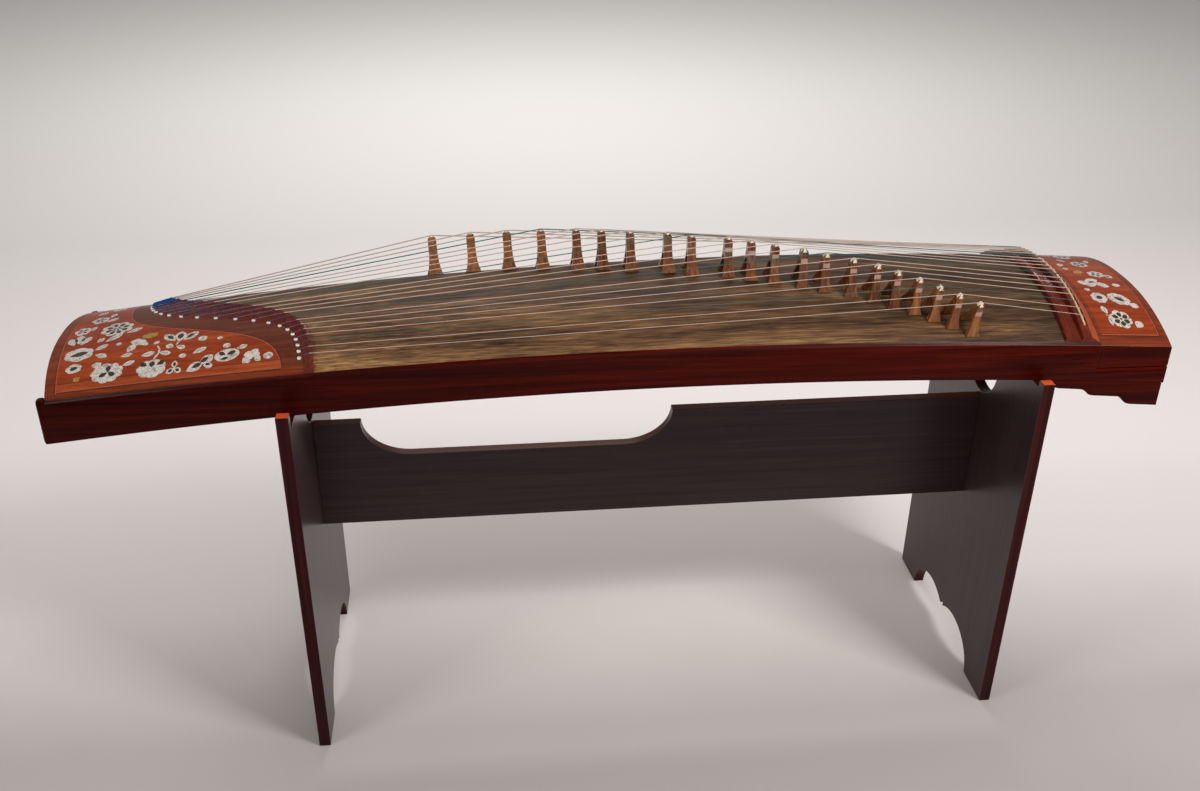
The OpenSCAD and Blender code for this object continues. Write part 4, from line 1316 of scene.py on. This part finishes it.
def dress_cad_nodes():
    """The inner pieces keep their CAD shapes and take these materials; the hinge pins are brass."""
    for node, *materials in (("back_board", BACK_WOOD), ("pin_block", INNER_WOOD),
                             ("cross_frames", SIDE_WOOD, BRASS)):
        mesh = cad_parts[node].data
        mesh.materials.clear()
        for material in materials:
            mesh.materials.append(material)
    for polygon in mesh.polygons:
        polygon.material_index = 1 if polygon.center.x > END_X + 2 * FIT_GAP else 0


# ---- the room ----

FLOOR_HALF = 12.0


def build_room():
    """A plain paper floor with painted light: darker in front, lightest just behind the stand where the
    body's shadow falls, and greyer further back.
    """
    made = Recipe("floor_paper_painted_light", 0.9)
    mottle = made.noise((3, 3, 3), 5.0)
    shifted = made.math("ADD", made.part(made.place, "Y"), made.math("MULTIPLY", mottle, 0.08))
    # painted light: the tone rises from the front to just behind the stand, lifting the body's shadow, and
    # falls again further back
    share = made.level(shifted, 0.0, 1.0, -1.0, 4.0)
    paper = made.finish(made.ramp(share, [(0.17, (0.52, 0.49, 0.48)), (0.24, (0.86, 0.815, 0.8)),
                                          (0.32, (1.0, 0.955, 0.94)), (0.44, (0.94, 0.895, 0.88)),
                                          (0.62, (0.78, 0.755, 0.74)), (1.0, (0.86, 0.85, 0.83))]))
    places = spread(-FLOOR_HALF, FLOOR_HALF, 16)
    rows = len(places)
    faces = [(a, a + rows, a + rows + 1, a + 1)
             for a in range(rows * (rows - 1)) if (a + 1) % rows]
    mesh = bpy.data.meshes.new("floor")
    mesh.from_pydata([(x, y, 0.0) for x in places for y in places], [], faces)
    mesh.materials.append(paper)
    link(bpy.data.objects.new("floor", mesh))


def add_light(name, place, target, size, power, colour):
    """A rectangular lamp at place, facing target."""
    data = bpy.data.lights.new(name, "AREA")
    data.shape = "RECTANGLE"
    data.size, data.size_y = size
    data.energy = power
    data.color = colour
    light = link(bpy.data.objects.new(name, data))
    light.location = place
    light.rotation_euler = (Vector(target) - Vector(place)).to_track_quat("-Z", "Y").to_euler()


def build_lights():
    """A pale sky, greyer in front of the stand, and four soft lamps."""
    world = bpy.data.worlds.new("studio")
    bpy.context.scene.world = world
    world.use_nodes = True
    made = Nodes(world.node_tree)
    y = made.part(made.add("ShaderNodeTexCoord").outputs["Generated"], "Y")
    sky = made.ramp(made.level(y, 0.0, 1.0, -1.0), [(0.3, (0.34, 0.325, 0.32)), (0.85, (0.52, 0.505, 0.5))])
    background = made.tree.nodes["Background"]
    made.put(background.inputs["Color"], sky)
    background.inputs["Strength"].default_value = 0.6
    warm = (1.0, 0.96, 0.94)
    add_light("key", (1.7, -1.5, 2.7), (0.1, 0.1, 0.5), (0.8, 0.8), 56, (1.0, 0.96, 0.93))
    add_light("second", (-2.0, -1.2, 2.7), (0.0, 0.1, 0.5), (0.8, 0.8), 20, warm)
    add_light("low", (0.1, -2.4, 0.8), (0.1, 0.8, 0.0), (1.6, 0.6), 8, warm)
    add_light("wash", (0.1, 3.0, 3.4), (0.1, 4.4, 0.0), (2.0, 1.0), 95, (1.0, 0.98, 0.96))


def build_camera():
    yaw, pitch, roll = radians(6.199), radians(28.478), radians(0.506)
    forward = Vector((sin(yaw) * cos(pitch), cos(yaw) * cos(pitch), -sin(pitch)))
    level = Vector((cos(yaw), -sin(yaw), 0.0))
    lift = level.cross(forward)
    right = level * cos(roll) + lift * sin(roll)
    up = lift * cos(roll) - level * sin(roll)
    data = bpy.data.cameras.new("camera")
    data.sensor_width = 36.0
    data.lens = 36.435
    data.clip_start, data.clip_end = 0.05, 50.0
    camera = link(bpy.data.objects.new("camera", data))
    turn = Matrix((right, up, -forward)).transposed().to_4x4()
    camera.matrix_world = Matrix.Translation((-0.1999, -1.6834, 1.4253)) @ turn
    bpy.context.scene.camera = camera


bpy.context.scene.view_settings.view_transform = "Standard"
for build in (build_camera, build_sides, build_soundboard, build_tail_panel, build_tail_lines,
              build_rear_nut, build_front_nut, build_bone_strip, build_lid, build_lid_hinges,
              build_head_feet, build_tail_inlay, build_lid_inlay, build_bridges, build_strings,
              build_coils, build_beads, build_pins):
    build()
build_leg("stand_leg_left", LEFT_LEG_X - LEG_BOARD, base_z(LEFT_LEG_X - LEG_BOARD) - TOUCH_GAP)
build_leg("stand_leg_right", RIGHT_LEG_X, base_z(RIGHT_LEG_X + LEG_BOARD) - TOUCH_GAP)
for build in (build_stretcher, build_bolts, dress_cad_nodes, build_room, build_lights):
    build()
